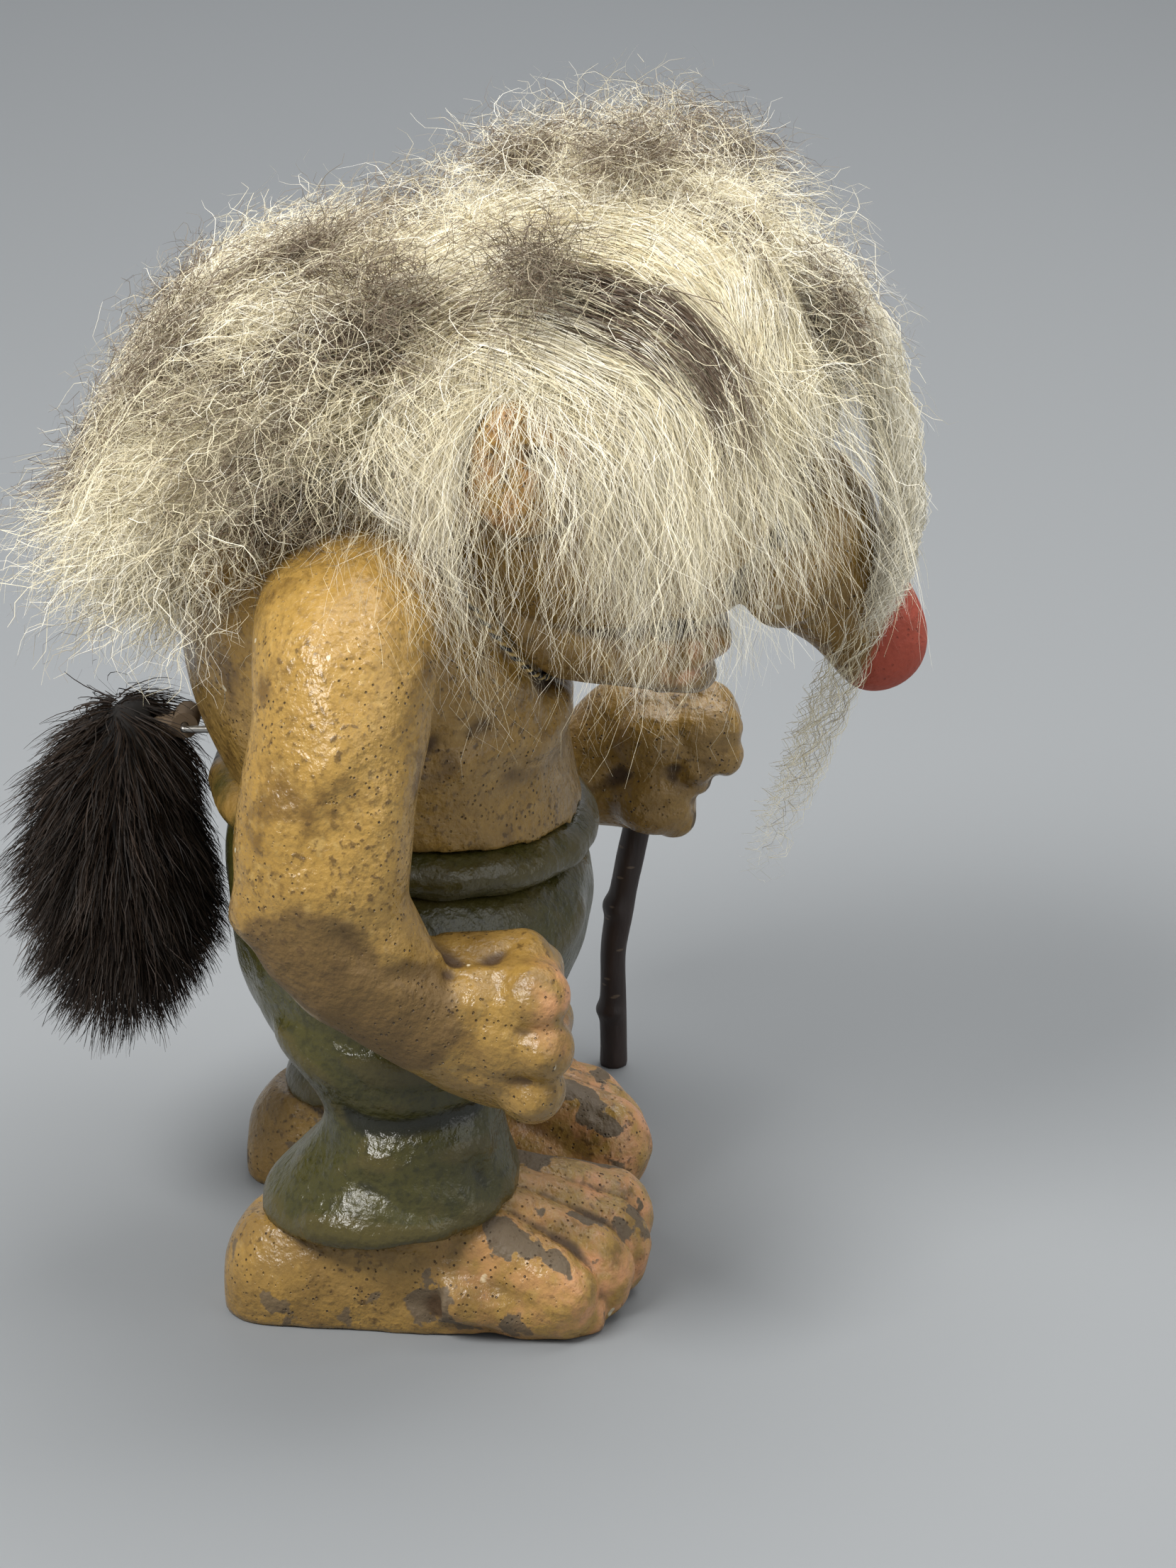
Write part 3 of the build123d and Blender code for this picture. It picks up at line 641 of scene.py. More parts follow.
# Head: brow, cheeks, lips, ear rims, wrinkles and warts, with a red nose tip
earRim = ((38, 8, 166, 3.4), (43, 11, 172, 3.0), (45, 16, 181, 3.0), (46, 24, 182, 2.8), (45, 28, 175, 2.6))
headSettings = {
    "voxel": 0.9, "soften": 4, "lively": 0.3, "seed": 23,
    "strokes": bothSides([
        (2.2, -1.2, (-27, 58, 166), (-20, 65, 164), (-13, 68, 166)),
        (2.0, -0.9, (-29, 54, 162), (-21, 63, 159), (-14, 67, 160)),
        (2.4, 1.1, (-28, 55, 183), (-18, 66, 184), (-8, 69, 181)),
        (1.8, -0.9, (-9, 73, 168), (-11, 72, 160), (-12, 70, 153)),
        (2.4, -1.5, (-16, 60, 152), (-20, 55, 146), (-21, 50, 138), (-17, 47, 131)),
        (2.0, 1.0, (-23, 50, 147), (-23, 46, 138)),
        (2.6, -0.7, (-46, 20, 182), (-48, 25, 174), (-46, 22, 168)),
        (1.5, -0.8, (-10, 84, 152), (-11, 82, 145)),
        (1.5, -0.8, (-8, 88, 146), (-10, 85, 139)),
    ]) + [
        (1.5, -0.9, (-8, 72, 174), (0, 75, 175), (8, 72, 174)),
        (1.5, -0.8, (-9, 76, 168), (0, 79, 169), (9, 76, 168)),
        (1.4, -0.7, (-9, 80, 162), (0, 83, 163), (9, 80, 162)),
        (2.0, 0.9, (-11, 78, 150)),
        (1.6, 0.9, (-10, 81, 143)),
        (1.8, 0.9, (-12, 74, 146)),
        (2.0, 0.5, (-6, 90, 134)),
        (1.8, 0.8, (10, 79, 148)),
        (1.6, 0.8, (-14, 70, 150)),
    ],
    "rolls": [
        [
            (-16, 43, 129, 3.0), (-12, 50, 129.5, 3.6), (-5, 54, 130, 4.0),
            (5, 54, 130, 4.0), (12, 50, 129.5, 3.6), (16, 43, 129, 3.0),
        ],
        [(-17, 46, 139, 2.6), (-11, 55, 140, 3.4), (0, 59, 141, 3.6), (11, 55, 140, 3.4), (17, 46, 139, 2.6)],
        *[
            [(sign * across, *rest) for across, *rest in earRim]
            for sign in (-1, 1)
        ],
    ],
    "lumps": [
        ((-25, 50, 157), (10, 12, 9)),
        ((25, 50, 157), (10, 12, 9)),
        ((-11, 71, 146), (6, 7, 6)),
        ((11, 71, 146), (6, 7, 6)),
        ((0, 50, 121.5), (8, 5, 3.5)),
        ((-43.5, 20, 174), (4, 6, 6)),
        ((43.5, 20, 174), (4, 6, 6)),
    ],
}
lipLine = ((-14, 47, 129), (-5, 54, 130), (5, 54, 130), (14, 47, 129))
head = clay("headSkin", "head", **headSettings)
co = read(head.data, "co")
side, forward, height = measures(co)
tipEdge = (forward - 84.8) * 0.93 - (height - 131) * 0.37 + wobble(co, 12, 29) * 0.5
setMark(head.data, "red", fade(tipEdge, -0.7, 0.7))
lowerLip = nearLine(co, np.array([at(*spot) for spot in lipLine])) / mm
earFlush = 0.4 * fade(np.abs(side), 42, 48)
setMark(head.data, "flush", np.maximum(1 - fade(lowerLip, 3.5, 7), earFlush))
# Painted shade: darker on the lower face, jaw and chin
setMark(head.data, "paintedShade", 0.7 * fade(160 - height, 0, 20))
dress(head, skin)
print("head ready")

# Eyes: dark glass with a pale rim, set under the brow
eyeSettings = {"radius": 5.6, "look": (0.55, 1.0, 0.05), "rim": 0.18}
eyePaint = Paint("eyeGlass", Roughness=0.06, IOR=1.5)
ring = eyePaint.mark("iris")
eyeTone = eyePaint.mix(eyePaint.ramp(ring, 0.45, 0.5), (0.30, 0.27, 0.22), (0.060, 0.075, 0.090))
eyePaint.set(Base_Color=eyePaint.mix(eyePaint.ramp(ring, 0.72, 0.76), eyeTone, (0.006, 0.006, 0.007)))
for node, sign in (("right_eye", -1), ("left_eye", 1)):
    low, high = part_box(node)
    centre = (Vector(low) + Vector(high)) / 2
    bm = bmesh.new()
    size = eyeSettings["radius"] * mm
    bmesh.ops.create_icosphere(bm, subdivisions=5, radius=size, matrix=Matrix.Translation(centre))
    mesh = bpy.data.meshes.new(node)
    bm.to_mesh(mesh)
    bm.free()
    mesh.shade_smooth()
    across, ahead, up = eyeSettings["look"]
    look = Vector((sign * across, -ahead, up)).normalized()
    facing = (read(mesh, "co") - np.array(centre)) @ np.array(look) / size
    setMark(mesh, "iris", facing * 0.5 + 0.5 - eyeSettings["rim"])
    eye = link(bpy.data.objects.new("rightEyeball" if sign < 0 else "leftEyeball", mesh))
    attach(eye, "figure")
    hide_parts(node)
    dress(eye, eyePaint.material)

# Tooth
toothSettings = {"voxel": 0.4, "soften": 3, "lively": 0.05, "seed": 31}
ivoryPaint = Paint("ivoryTooth", Roughness=0.3)
ivoryPaint.set(Base_Color=ivoryPaint.mix(ivoryPaint.noise(300), (0.62, 0.52, 0.34), (0.78, 0.70, 0.52)))
tooth = clay("toothPeg", "tooth", **toothSettings)
dress(tooth, ivoryPaint.material)

# Twig: knots, ridged bark and pale lenticels
twigSettings = {
    "voxel": 0.55, "soften": 2, "lively": 0.16, "seed": 37, "body": "stick",
    "strokes": [
        (2.2, 0.9, (79, 36, 40), (74, 36, 40)),
        (1.8, 0.8, (80, 33, 14), (77, 36, 14)),
        (2.0, 0.6, (70, 44, 92)),
        (6.0, -0.4, (77, 38, 26), (79, 36, 24)),
    ],
}
barkPaint = Paint("twigBark")
grain = barkPaint.noise(260, 5, barkPaint.stretched(1, 1, 0.25))
bark = barkPaint.mix(grain, (0.010, 0.006, 0.005), (0.045, 0.026, 0.020))
lenticel = barkPaint.cells(330, barkPaint.stretched(0.55, 0.55, 1.5))
dots = barkPaint.ramp(lenticel.outputs["Distance"], 0.10, 0.20, 1.0, 0.0)
bark = barkPaint.mix(barkPaint.times(dots, 0.5), bark, (0.20, 0.145, 0.095))
barkPaint.set(Base_Color=bark, Roughness=0.5, Normal=barkPaint.bump(grain, 0.5))
twig = clay("barkTwig", "stick", **twigSettings)
dress(twig, barkPaint.material)

# Neck cord: two plies, black and gold, twisted round the loop
cordSettings = {"twists": 52, "plyRadius": 0.36, "throw": 0.33, "points": 700}
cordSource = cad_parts["neck_cord"]
loop = np.array([cordSource.matrix_world @ v.co for v in cordSource.data.vertices])
hub = loop.mean(0)
axes = np.linalg.svd(loop - hub, full_matrices=False)[2]
loopRadius = np.linalg.norm((loop - hub) @ axes[:2].T, axis=1).mean()
goldPaint = Paint("goldPly", Roughness=0.45)
goldPaint.set(Base_Color=goldPaint.mix(goldPaint.noise(900), (0.34, 0.21, 0.05), (0.62, 0.43, 0.14)))
blackPaint = Paint("blackPly", Roughness=0.7)
blackTone = blackPaint.mix(blackPaint.noise(900), (0.008, 0.007, 0.006), (0.035, 0.030, 0.026))
blackPaint.set(Base_Color=blackTone)
for ply, (name, paint) in enumerate((("goldCord", goldPaint), ("blackCord", blackPaint))):
    turn = np.linspace(0, 2 * math.pi, cordSettings["points"], endpoint=False)
    roll = cordSettings["twists"] * turn + math.pi * ply
    reach = loopRadius + cordSettings["throw"] * mm * np.cos(roll)
    path = hub + reach[:, None] * (np.cos(turn)[:, None] * axes[0] + np.sin(turn)[:, None] * axes[1])
    path += (cordSettings["throw"] * mm * np.sin(roll))[:, None] * axes[2]
    data = bpy.data.curves.new(name, "CURVE")
    data.dimensions = "3D"
    data.bevel_depth = cordSettings["plyRadius"] * mm
    data.bevel_resolution = 1
    spline = data.splines.new("POLY")
    spline.points.add(len(path) - 1)
    spline.points.foreach_set("co", np.hstack([path, np.ones((len(path), 1))]).ravel())
    spline.use_cyclic_u = True
    curve = link(bpy.data.objects.new(name + "Curve", data))
    mesh = evaluated(curve)
    bpy.data.objects.remove(curve)
    mesh.shade_smooth()
    cord = link(bpy.data.objects.new(name, mesh))
    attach(cord, "figure")
    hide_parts("neck_cord")
    dress(cord, paint.material)
print("eyes, tooth, twig and cord ready")

# Hidden fittings keep their CAD shape
dowelPaint = Paint("dowelBeech", Roughness=0.6)
rings = dowelPaint.noise(240, 4, dowelPaint.stretched(1, 1, 0.15))
dowelPaint.set(Base_Color=dowelPaint.mix(rings, (0.42, 0.27, 0.13), (0.58, 0.41, 0.22)))
hidePaint = Paint("tannedHide", Roughness=0.75)
hideTone = hidePaint.mix(hidePaint.noise(220, 5), (0.10, 0.065, 0.035), (0.20, 0.14, 0.085))
hidePaint.set(Base_Color=hideTone)
wirePaint = Paint("stapleWire", Metallic=1.0, Roughness=0.38)
wireTone = wirePaint.mix(wirePaint.noise(400), (0.36, 0.35, 0.33), (0.50, 0.49, 0.47))
wirePaint.set(Base_Color=wireTone)
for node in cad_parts:
    if node.endswith("dowel"):
        dress(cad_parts[node], dowelPaint.material)
dress(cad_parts["tail_hide"], hidePaint.material)
dress(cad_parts["tail_staple"], wirePaint.material)


# Wool and fur: a felted undercoat with thousands of seeded strands over it
def unit(vectors):
    return vectors / np.maximum(np.linalg.norm(vectors, axis=-1, keepdims=True), 1e-12)


def undercoat(name, node, shape, voxel, lumpy, length, seed, body="figure", also=()):
    ob = remeshed(name, node, voxel, 6)
    mesh = ob.data
    co, normal = read(mesh, "co"), read(mesh, "normal")
    co += normal * (lumpy * mm * wobble(co, length, seed))[:, None]
    side, forward, height = shape(*measures(co))
    moved(mesh, np.stack([side, originForward - forward, height], axis=1) * mm)
    softened(mesh, 4)
    mesh.shade_smooth()
    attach(ob, body)
    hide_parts(node, *also)
    return ob


def solidTree(*obs):
    spots, faces = [], []
    for ob in obs:
        start = len(spots)
        spots += [v.co.copy() for v in ob.data.vertices]
        faces += [[start + k for k in p.vertices] for p in ob.data.polygons]
    return BVHTree.FromPolygons(spots, faces)


# Roots on the faces of a piece, as often as the wanted share says
def scatter(ob, count, wanted, rng):
    mesh = ob.data
    faces = len(mesh.polygons)
    centre, normal, area = np.empty(faces * 3), np.empty(faces * 3), np.empty(faces)
    mesh.polygons.foreach_get("center", centre)
    mesh.polygons.foreach_get("normal", normal)
    mesh.polygons.foreach_get("area", area)
    centre, normal = centre.reshape(-1, 3), normal.reshape(-1, 3)
    weight = area * wanted(*measures(centre), normal)
    chosen = rng.choice(faces, count, p=weight / weight.sum())
    roots = centre[chosen] + rng.normal(size=(count, 3)) * np.sqrt(area[chosen])[:, None] * 0.4
    return roots, normal[chosen]


def kept(tree, spots, gap):
    for k, spot in enumerate(spots):
        place, normal, _, _ = tree.find_nearest(Vector(spot), 0.03)
        if place is not None and (Vector(spot) - place).dot(normal) < gap[k]:
            spots[k] = place + normal * gap[k]
    return spots


# Strands grow step by step, kept off the body and bent by the drop, the stray and the flow
def march(roots, heading, lengths, rng, steps, drop, stray, lift=0, tree=None, flow=None):
    path = np.empty((len(roots), steps, 3))
    path[:, 0] = roots
    heading = unit(heading)
    layer = rng.uniform(0.2, 1.0, len(roots))
    for k in range(1, steps):
        t = k / (steps - 1)
        if flow:
            heading = 0.62 * heading + 0.38 * flow(path[:, k - 1])
        heading = heading + rng.normal(size=heading.shape) * stray
        heading[:, 2] -= drop * t
        heading = unit(heading)
        spot = path[:, k - 1] + heading * (lengths / (steps - 1))[:, None]
        if tree:
            spot = kept(tree, spot, layer * lift * mm * (0.3 + 0.7 * t))
        heading = unit(spot - path[:, k - 1])
        path[:, k] = spot
    return path


# Each strand leans to the leader of the lock that is nearest to its root
def gathered(path, rng, locks, share):
    leaders = rng.choice(len(path), locks, replace=False)
    heads = path[leaders, 0]
    own = np.empty(len(path), dtype=np.int64)
    for start in range(0, len(path), 500):
        gap = ((path[start:start + 500, None, 0] - heads[None]) ** 2).sum(2)
        own[start:start + 500] = gap.argmin(1)
    t = np.linspace(0, 1, path.shape[1])[None, :, None]
    return path + (path[leaders[own]] - path) * share * t ** 1.3, own


def crimped(path, lengths, own, rng, wave, depth, stray=0.5):
    t = np.linspace(0, 1, path.shape[1])
    run = unit(np.gradient(path, axis=1))
    side = unit(np.cross(run, np.array([0.31, 0.17, 0.94])))
    up = np.cross(side, run)
    lockPhase = rng.uniform(0, 2 * math.pi, own.max() + 1)[own]
    phase = lockPhase[:, None] + rng.normal(size=(len(path), 1)) * stray
    turn = 2 * math.pi * lengths[:, None] * t[None] / (wave * mm) + phase
    size = (depth * mm * np.sqrt(t))[None, :, None] * rng.uniform(0.5, 1.4, (len(path), 1, 1))
    return path + size * (np.sin(turn)[..., None] * side + 0.7 * np.cos(turn)[..., None] * up)


profile = bpy.data.curves.new("strandProfile", "CURVE")
profile.dimensions = "2D"
blade = profile.splines.new("POLY")
blade.points.add(1)
blade.points[0].co = (-mm, 0, 0, 1)
blade.points[1].co = (mm, 0, 0, 1)
profileOb = link(bpy.data.objects.new("strandProfile", profile))

# Side outline of the hair, forward and height: strands beyond it are drawn in
outlineSettings = {
    "hub": (35, 160),
    "line": (
        (-64, 161), (-57, 176), (-43, 195), (-30, 203), (-14, 207), (0, 211), (13, 217), (26, 222),
        (40, 226), (50, 224), (60, 216), (71, 203), (78, 190), (83, 177), (87, 160), (90, 140), (110, 120),
    ),
    "back": 96,
    "backLoose": 0.35,
}


def drawnIn(path, loose):
    path = path.copy()
    hub = outlineSettings["hub"]
    line = np.array(outlineSettings["line"]) - hub
    angles, reaches = np.arctan2(line[:, 1], line[:, 0]), np.hypot(line[:, 0], line[:, 1])
    order = np.argsort(angles)
    _, forward, height = measures(path)
    forward, height = forward - hub[0], height - hub[1]
    angle, far = np.arctan2(height, forward), np.hypot(forward, height)
    limit = np.interp(angle, angles[order], reaches[order], left=500, right=500)
    share = np.where(far > limit, (limit + (far - limit) * loose) / np.maximum(far, 1e-6), 1)
    path[..., 1] = (originForward - hub[0] - forward * share) * mm
    path[..., 2] = (hub[1] + height * share) * mm
    back = outlineSettings["back"] * mm
    past = path[..., 1] - back
    path[..., 1] = np.where(past > 0, back + past * outlineSettings["backLoose"], path[..., 1])
    return path


# Strands end where they come below a lower edge, forward and height, raggedly
def trimmed(path, edge, ragged, rng):
    count, steps, _ = path.shape
    edge = np.array(edge)
    _, forward, height = measures(path)
    low = np.interp(forward, edge[:, 0], edge[:, 1])
    below = height < low + rng.normal(size=(count, 1)) * ragged
    last = np.where(below.any(1), np.maximum(below.argmax(1), 2), steps - 1)
    share = last[:, None] * np.linspace(0, 1, steps)[None]
    whole = np.minimum(share.astype(int), steps - 2)
    part = (share - whole)[..., None]
    row = np.arange(count)[:, None]
    return path[row, whole] * (1 - part) + path[row, whole + 1] * part


# Grown, and then gathered, crimped and trimmed where the settings of the piece say so
def grown(roots, heading, lengths, rng, settings, tree=None, flow=None):
    path = march(roots, heading, lengths, rng, **settings["march"], tree=tree, flow=flow)
    own = np.arange(len(path))
    if "gather" in settings:
        path, own = gathered(path, rng, **settings["gather"])
    if "crimp" in settings:
        path = crimped(path, lengths, own, rng, **settings["crimp"])
    if "edge" in settings:
        path = trimmed(path, settings["edge"], settings["ragged"], rng)
    return path, own


def strands(name, path, tone, material, slotName, radius, body="figure", taper=0.25, loose=1.0):
    count, steps, _ = path.shape
    path = drawnIn(path, loose)
    data = bpy.data.curves.new(name, "CURVE")
    data.dimensions = "3D"
    data.bevel_mode = "OBJECT"
    data.bevel_object = profileOb
    thin = radius * (1 - (1 - taper) * np.linspace(0, 1, steps) ** 2)
    flat = np.concatenate([path, np.ones((count, steps, 1))], axis=2)
    twist = np.random.default_rng(count).uniform(0, math.pi, count)
    for k in range(count):
        spline = data.splines.new("POLY")
        spline.points.add(steps - 1)
        spline.points.foreach_set("co", flat[k].ravel())
        spline.points.foreach_set("radius", thin)
        spline.points.foreach_set("tilt", np.full(steps, twist[k]))
    curve = link(bpy.data.objects.new(name + "Curves", data))
    mesh = evaluated(curve)
    bpy.data.objects.remove(curve)
    bpy.data.curves.remove(data)
    mesh.name = name
    mesh.shade_smooth()
    each = len(mesh.vertices) // count
    setMark(mesh, "tone", np.repeat(tone, each))
    ob = link(bpy.data.objects.new(name, mesh))
    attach(ob, body)
    dress(ob, material)
    return ob


def woolPaint(name, pale, cream, brown):
    paint = Paint(name, Roughness=0.55)
    tone = paint.mark("tone")
    colour = paint.mix(paint.ramp(tone, 0.0, 0.5), pale, cream)
    paint.set(Base_Color=paint.mix(paint.ramp(tone, 0.5, 1.0), colour, brown))
    return paint.material


wool = woolPaint("woolStrand", (0.92, 0.88, 0.76), (0.82, 0.74, 0.52), (0.110, 0.072, 0.045))
# Felt undercoat in wool colours, darker than the strands: partly the felted base and partly painted shade of
# the wool's inner layers
feltPaint = Paint("shadedWoolFelt", Roughness=0.9)
felt = feltPaint.noise(420, 6, feltPaint.stretched(1.6, 0.4, 1.4))
shadedWoolTone = feltPaint.mix(felt, (0.24, 0.19, 0.125), (0.62, 0.55, 0.39))
feltPaint.set(Base_Color=shadedWoolTone, Normal=feltPaint.bump(felt, 2.0))

# Crown: a felted cap with combed locks that sweep forward from the parting
crownSettings = {
    "felt": {"voxel": 1.3, "lumpy": 2.0, "length": 30, "seed": 41},
    "brim": 183, "count": 8600, "length": (28, 60), "ragged": 6, "lockTones": (0.0, 0.55),
    "march": {"steps": 9, "drop": 0.10, "stray": 0.05, "lift": 2.4},
    "gather": {"locks": 190, "share": 0.5},
    "crimp": {"wave": 24, "depth": 1.5, "stray": 0.45},
    "strand": {"radius": 0.105, "taper": 0.12, "loose": 0.3},
    "edge": ((0, 150), (24, 151), (40, 157), (52, 166), (62, 179), (90, 185)),
}
napeFelt = {"voxel": 1.3, "lumpy": 2.5, "length": 26, "seed": 43}


def crownShape(side, forward, height):
    brim = crownSettings["brim"]
    lowered = brim + (height - brim) * np.where(height > brim, 0.85, 0.2)
    pulled = np.where(forward > 60, 60 + (forward - 60) * 0.62, forward)
    return side * 0.93, pulled, lowered


def napeShape(side, forward, height):
    inner = (-22, 176)
    return side * 0.89, inner[0] + (forward - inner[0]) * 0.86, inner[1] + (height - inner[1]) * 0.87


crown = undercoat("crownFelt", "crown_wool", crownShape, also=("crown_hide",), **crownSettings["felt"])
dress(crown, feltPaint.material)
nape = undercoat("napeFelt", "nape_wool", napeShape, also=("nape_hide",), **napeFelt)
dress(nape, feltPaint.material)
bodyTree = solidTree(crown, nape, head, torso, rightArm, leftArm)
print("undercoats ready")

rng = np.random.default_rng(101)
tufts = (  # side, forward, height, radius
    (-12, 38, 222, 13), (-32, 24, 204, 9), (-14, 72, 196, 10), (-26, -6, 199, 12), (16, 52, 214, 12),
    (34, 30, 203, 10), (28, -4, 198, 11), (8, 20, 215, 9), (-18, -42, 188, 14), (-34, -28, 172, 13),
    (20, -46, 184, 14), (36, -26, 170, 12), (0, -56, 166, 13), (-6, -20, 200, 10),
)


def brownness(spots):
    best = np.zeros(len(spots))
    ragged = 2.5 * wobble(spots, 11, 47)
    for side, forward, height, radius in tufts:
        gap = np.linalg.norm(spots - np.array(at(side, forward, height)), axis=1) / mm + ragged
        best = np.maximum(best, 1 - fade(gap, radius * 0.55, radius * 1.1))
    return best


def crownArea(side, forward, height, normal):
    outside = (height > 182) & (normal[:, 2] > -0.35)
    overEars = 1 + 1.8 * fade(199 - height, 0, 10) * fade(forward, -4, 4) * (1 - fade(forward, 28, 38))
    return np.where(outside & (forward > -9), overEars, 0.0)


# Combed locks fall at the brow and over the ears, and back over the mane
def combed(spots):
    side, forward, height = measures(spots)
    fall = -26 + 40 * fade(forward, -6, 18) + 36 * fade(forward, 18, 46) + 36 * fade(forward, 44, 66)
    fall += 44 * fade(197 - height, 0, 17) * (1 - 0.5 * fade(forward, 40, 66))
    fall = np.radians(np.minimum(fall + 26 * wobble(spots, 38, 61), 96))
    return np.stack([0.007 * side, -np.cos(fall), -np.sin(fall)], axis=1)


for name, keep in (
    ("crownLocksRight", lambda s, f, h, n: crownArea(s, f, h, n) * (s < 2)),
    ("crownLocksLeft", lambda s, f, h, n: crownArea(s, f, h, n) * (s > -2)),
    ("crownLocksTop", lambda s, f, h, n: crownArea(s, f, h, n) * (0.4 + fade(h, 186, 206))),
):
    count = crownSettings["count"]
    roots, normal = scatter(crown, count, keep, rng)
    side, forward, _ = measures(roots)
    behind = rng.uniform(size=count) < fade(13 - forward, 0, 16)
    backward = np.stack([0.012 * side, np.full(count, 0.9), np.full(count, -0.3)], axis=1)
    heading = np.where(behind[:, None], backward, combed(roots))
    heading = heading - normal * (heading * normal).sum(1, keepdims=True)
    lengths = rng.uniform(*crownSettings["length"], count) * mm * (1 - 0.48 * fade(forward, 28, 50))
    path, own = grown(
        roots, heading, lengths, rng, crownSettings, bodyTree,
        lambda spots: np.where(behind[:, None], backward, combed(spots)),
    )
    lockTone = rng.uniform(*crownSettings["lockTones"], crownSettings["gather"]["locks"])[own]
    tone = np.maximum(lockTone + rng.normal(size=count) * 0.10, brownness(roots))
    strands(name, path, tone, wool, "wool", **crownSettings["strand"])
print("crown ready")

# Curtain: sparse long strands from the hairline down over ears, cheeks, brow and shoulders
curtainSettings = {
    "count": 7000, "length": (24, 76), "heading": (0, -0.3, -0.75), "ragged": 6, "brownShare": 0.16,
    "march": {"steps": 14, "drop": 0.34, "stray": 0.17, "lift": 5.0},
    "gather": {"locks": 320, "share": 0.25},
    "crimp": {"wave": 20, "depth": 2.0, "stray": 1.4},
    "strand": {"radius": 0.043, "loose": 0.2},
    "edge": ((20, 118), (40, 126), (52, 136), (62, 150), (74, 158), (90, 152)),
}


def curtainArea(side, forward, height, normal):
    edge = (height > 180) & (height < 198) & (normal[:, 2] > -0.75)
    front = 1.0 + 0.5 * fade(forward, 14, 40) - 1.32 * fade(forward, 50, 62)
    return np.where(edge & (forward > -4), front, 0.0)


count = curtainSettings["count"]
roots, normal = scatter(crown, count, curtainArea, rng)
heading = normal * 0.3 + np.array(curtainSettings["heading"])
lengths = rng.uniform(*curtainSettings["length"], count) * mm
path, _ = grown(roots, heading, lengths, rng, curtainSettings, bodyTree)
tone = rng.uniform(0.0, 0.6, count) + 0.4 * (rng.uniform(size=count) < curtainSettings["brownShare"])
strands("faceCurtain", path, np.clip(tone, 0, 1), wool, "wool", **curtainSettings["strand"])

# Side locks over the ears
earSettings = {
    "count": 3000, "length": (18, 42), "heading": (0, -0.2, -0.8), "lockTones": (0.0, 0.6),
    "march": {"steps": 11, "drop": 0.20, "stray": 0.12, "lift": 5.0},
    "gather": {"locks": 90, "share": 0.3},
    "crimp": {"wave": 22, "depth": 2.0, "stray": 0.8},
    "strand": {"radius": 0.08, "taper": 0.12},
}


def earArea(side, forward, height, normal):
    above = (height > 181) & (height < 194) & (forward > -5) & (forward < 33) & (np.abs(side) > 20)
    return np.where(above, 1 + 4 * fade(13 - np.abs(forward - 15), 0, 6), 0.0)


count = earSettings["count"]
roots, normal = scatter(crown, count, earArea, rng)
heading = normal * 0.35 + np.array(earSettings["heading"])
lengths = rng.uniform(*earSettings["length"], count) * mm
path, own = grown(roots, heading, lengths, rng, earSettings, bodyTree)
lockTone = rng.uniform(*earSettings["lockTones"], earSettings["gather"]["locks"])[own]
tone = np.clip(lockTone + rng.normal(size=count) * 0.12, 0, 1)
strands("earLocks", path, tone, wool, "wool", **earSettings["strand"])

# Mane: frizzier, falling back over the shoulders
maneSettings = {
    "count": 5000, "length": (14, 42), "ragged": 3,
    "lockTones": (0.05, 0.6), "brownLock": 0.72, "brownShare": 0.12,
    "march": {"steps": 11, "drop": 0.18, "stray": 0.32, "lift": 6.0},
    "gather": {"locks": 190, "share": 0.3},
    "crimp": {"wave": 13, "depth": 2.0, "stray": 1.5},
    "strand": {"radius": 0.08, "loose": 0.35},
    "edge": ((-95, 143), (-70, 139), (-45, 133), (-34, 119), (-24, 100)),
}


def maneArea(side, forward, height, normal):
    return np.where((normal[:, 1] > -0.55) | (normal[:, 2] > 0.2), 1.0, 0.0)


for name, keep in (
    ("maneRight", lambda s, f, h, n: maneArea(s, f, h, n) * (s < 5)),
    ("maneLeft", lambda s, f, h, n: maneArea(s, f, h, n) * (s > -5)),
):
    count, locks = maneSettings["count"], maneSettings["gather"]["locks"]
    roots, normal = scatter(nape, count, keep, rng)
    side, _, _ = measures(roots)
    heading = np.stack([0.010 * side, np.full(count, 0.8), np.full(count, -0.3)], axis=1) + normal * 0.5
    heading += rng.normal(size=(count, 3)) * 0.45
    lengths = rng.uniform(*maneSettings["length"], count) * mm
    path, own = grown(roots, heading, lengths, rng, maneSettings, bodyTree)
    brownLock = rng.uniform(size=locks) < maneSettings["brownShare"]
    lockTone = rng.uniform(*maneSettings["lockTones"], locks)
    lockTone = np.where(brownLock, maneSettings["brownLock"], lockTone)[own]
    tone = np.maximum(lockTone + rng.normal(size=count) * 0.12, brownness(roots))
    strands(name, path, tone, wool, "wool", **maneSettings["strand"])

# Frizz: loose curls standing off crown and mane
frizzSettings = {
    "length": (14, 38), "ragged": 3, "edge": maneSettings["edge"],
    "march": {"steps": 13, "drop": 0.08, "stray": 0.24},
    "crimp": {"wave": 14, "depth": 2.0},
    "strand": {"radius": 0.055, "loose": 0.58},
}


def crownFrizzArea(side, forward, height, normal):
    standing = 0.10 + fade(height, 198, 213) + 0.8 * fade(forward, 56, 80)
    return crownArea(side, forward, height, normal) * standing


for name, count, source, keep, longer, brown in (
    ("crownFrizz", 3000, crown, crownFrizzArea, 1.0, 0.42),
    ("maneFrizz", 2800, nape, maneArea, 0.9, 0.45),
):
    roots, normal = scatter(source, count, keep, rng)
    heading = normal * 0.9 + rng.normal(size=(count, 3)) * 0.5 + np.array([0, -0.1, 0.15])
    lengths = rng.uniform(*frizzSettings["length"], count) * mm * longer
    path, _ = grown(roots, heading, lengths, rng, frizzSettings)
    isBrown = brownness(roots) + rng.uniform(size=count) * brown > 0.4
    brownTone = rng.uniform(0.65, 1, count)
    tone = np.where(isBrown, brownTone, rng.uniform(0, 0.6, count))
    strands(name, path, tone, wool, "wool", **frizzSettings["strand"])
print("mane and frizz ready")

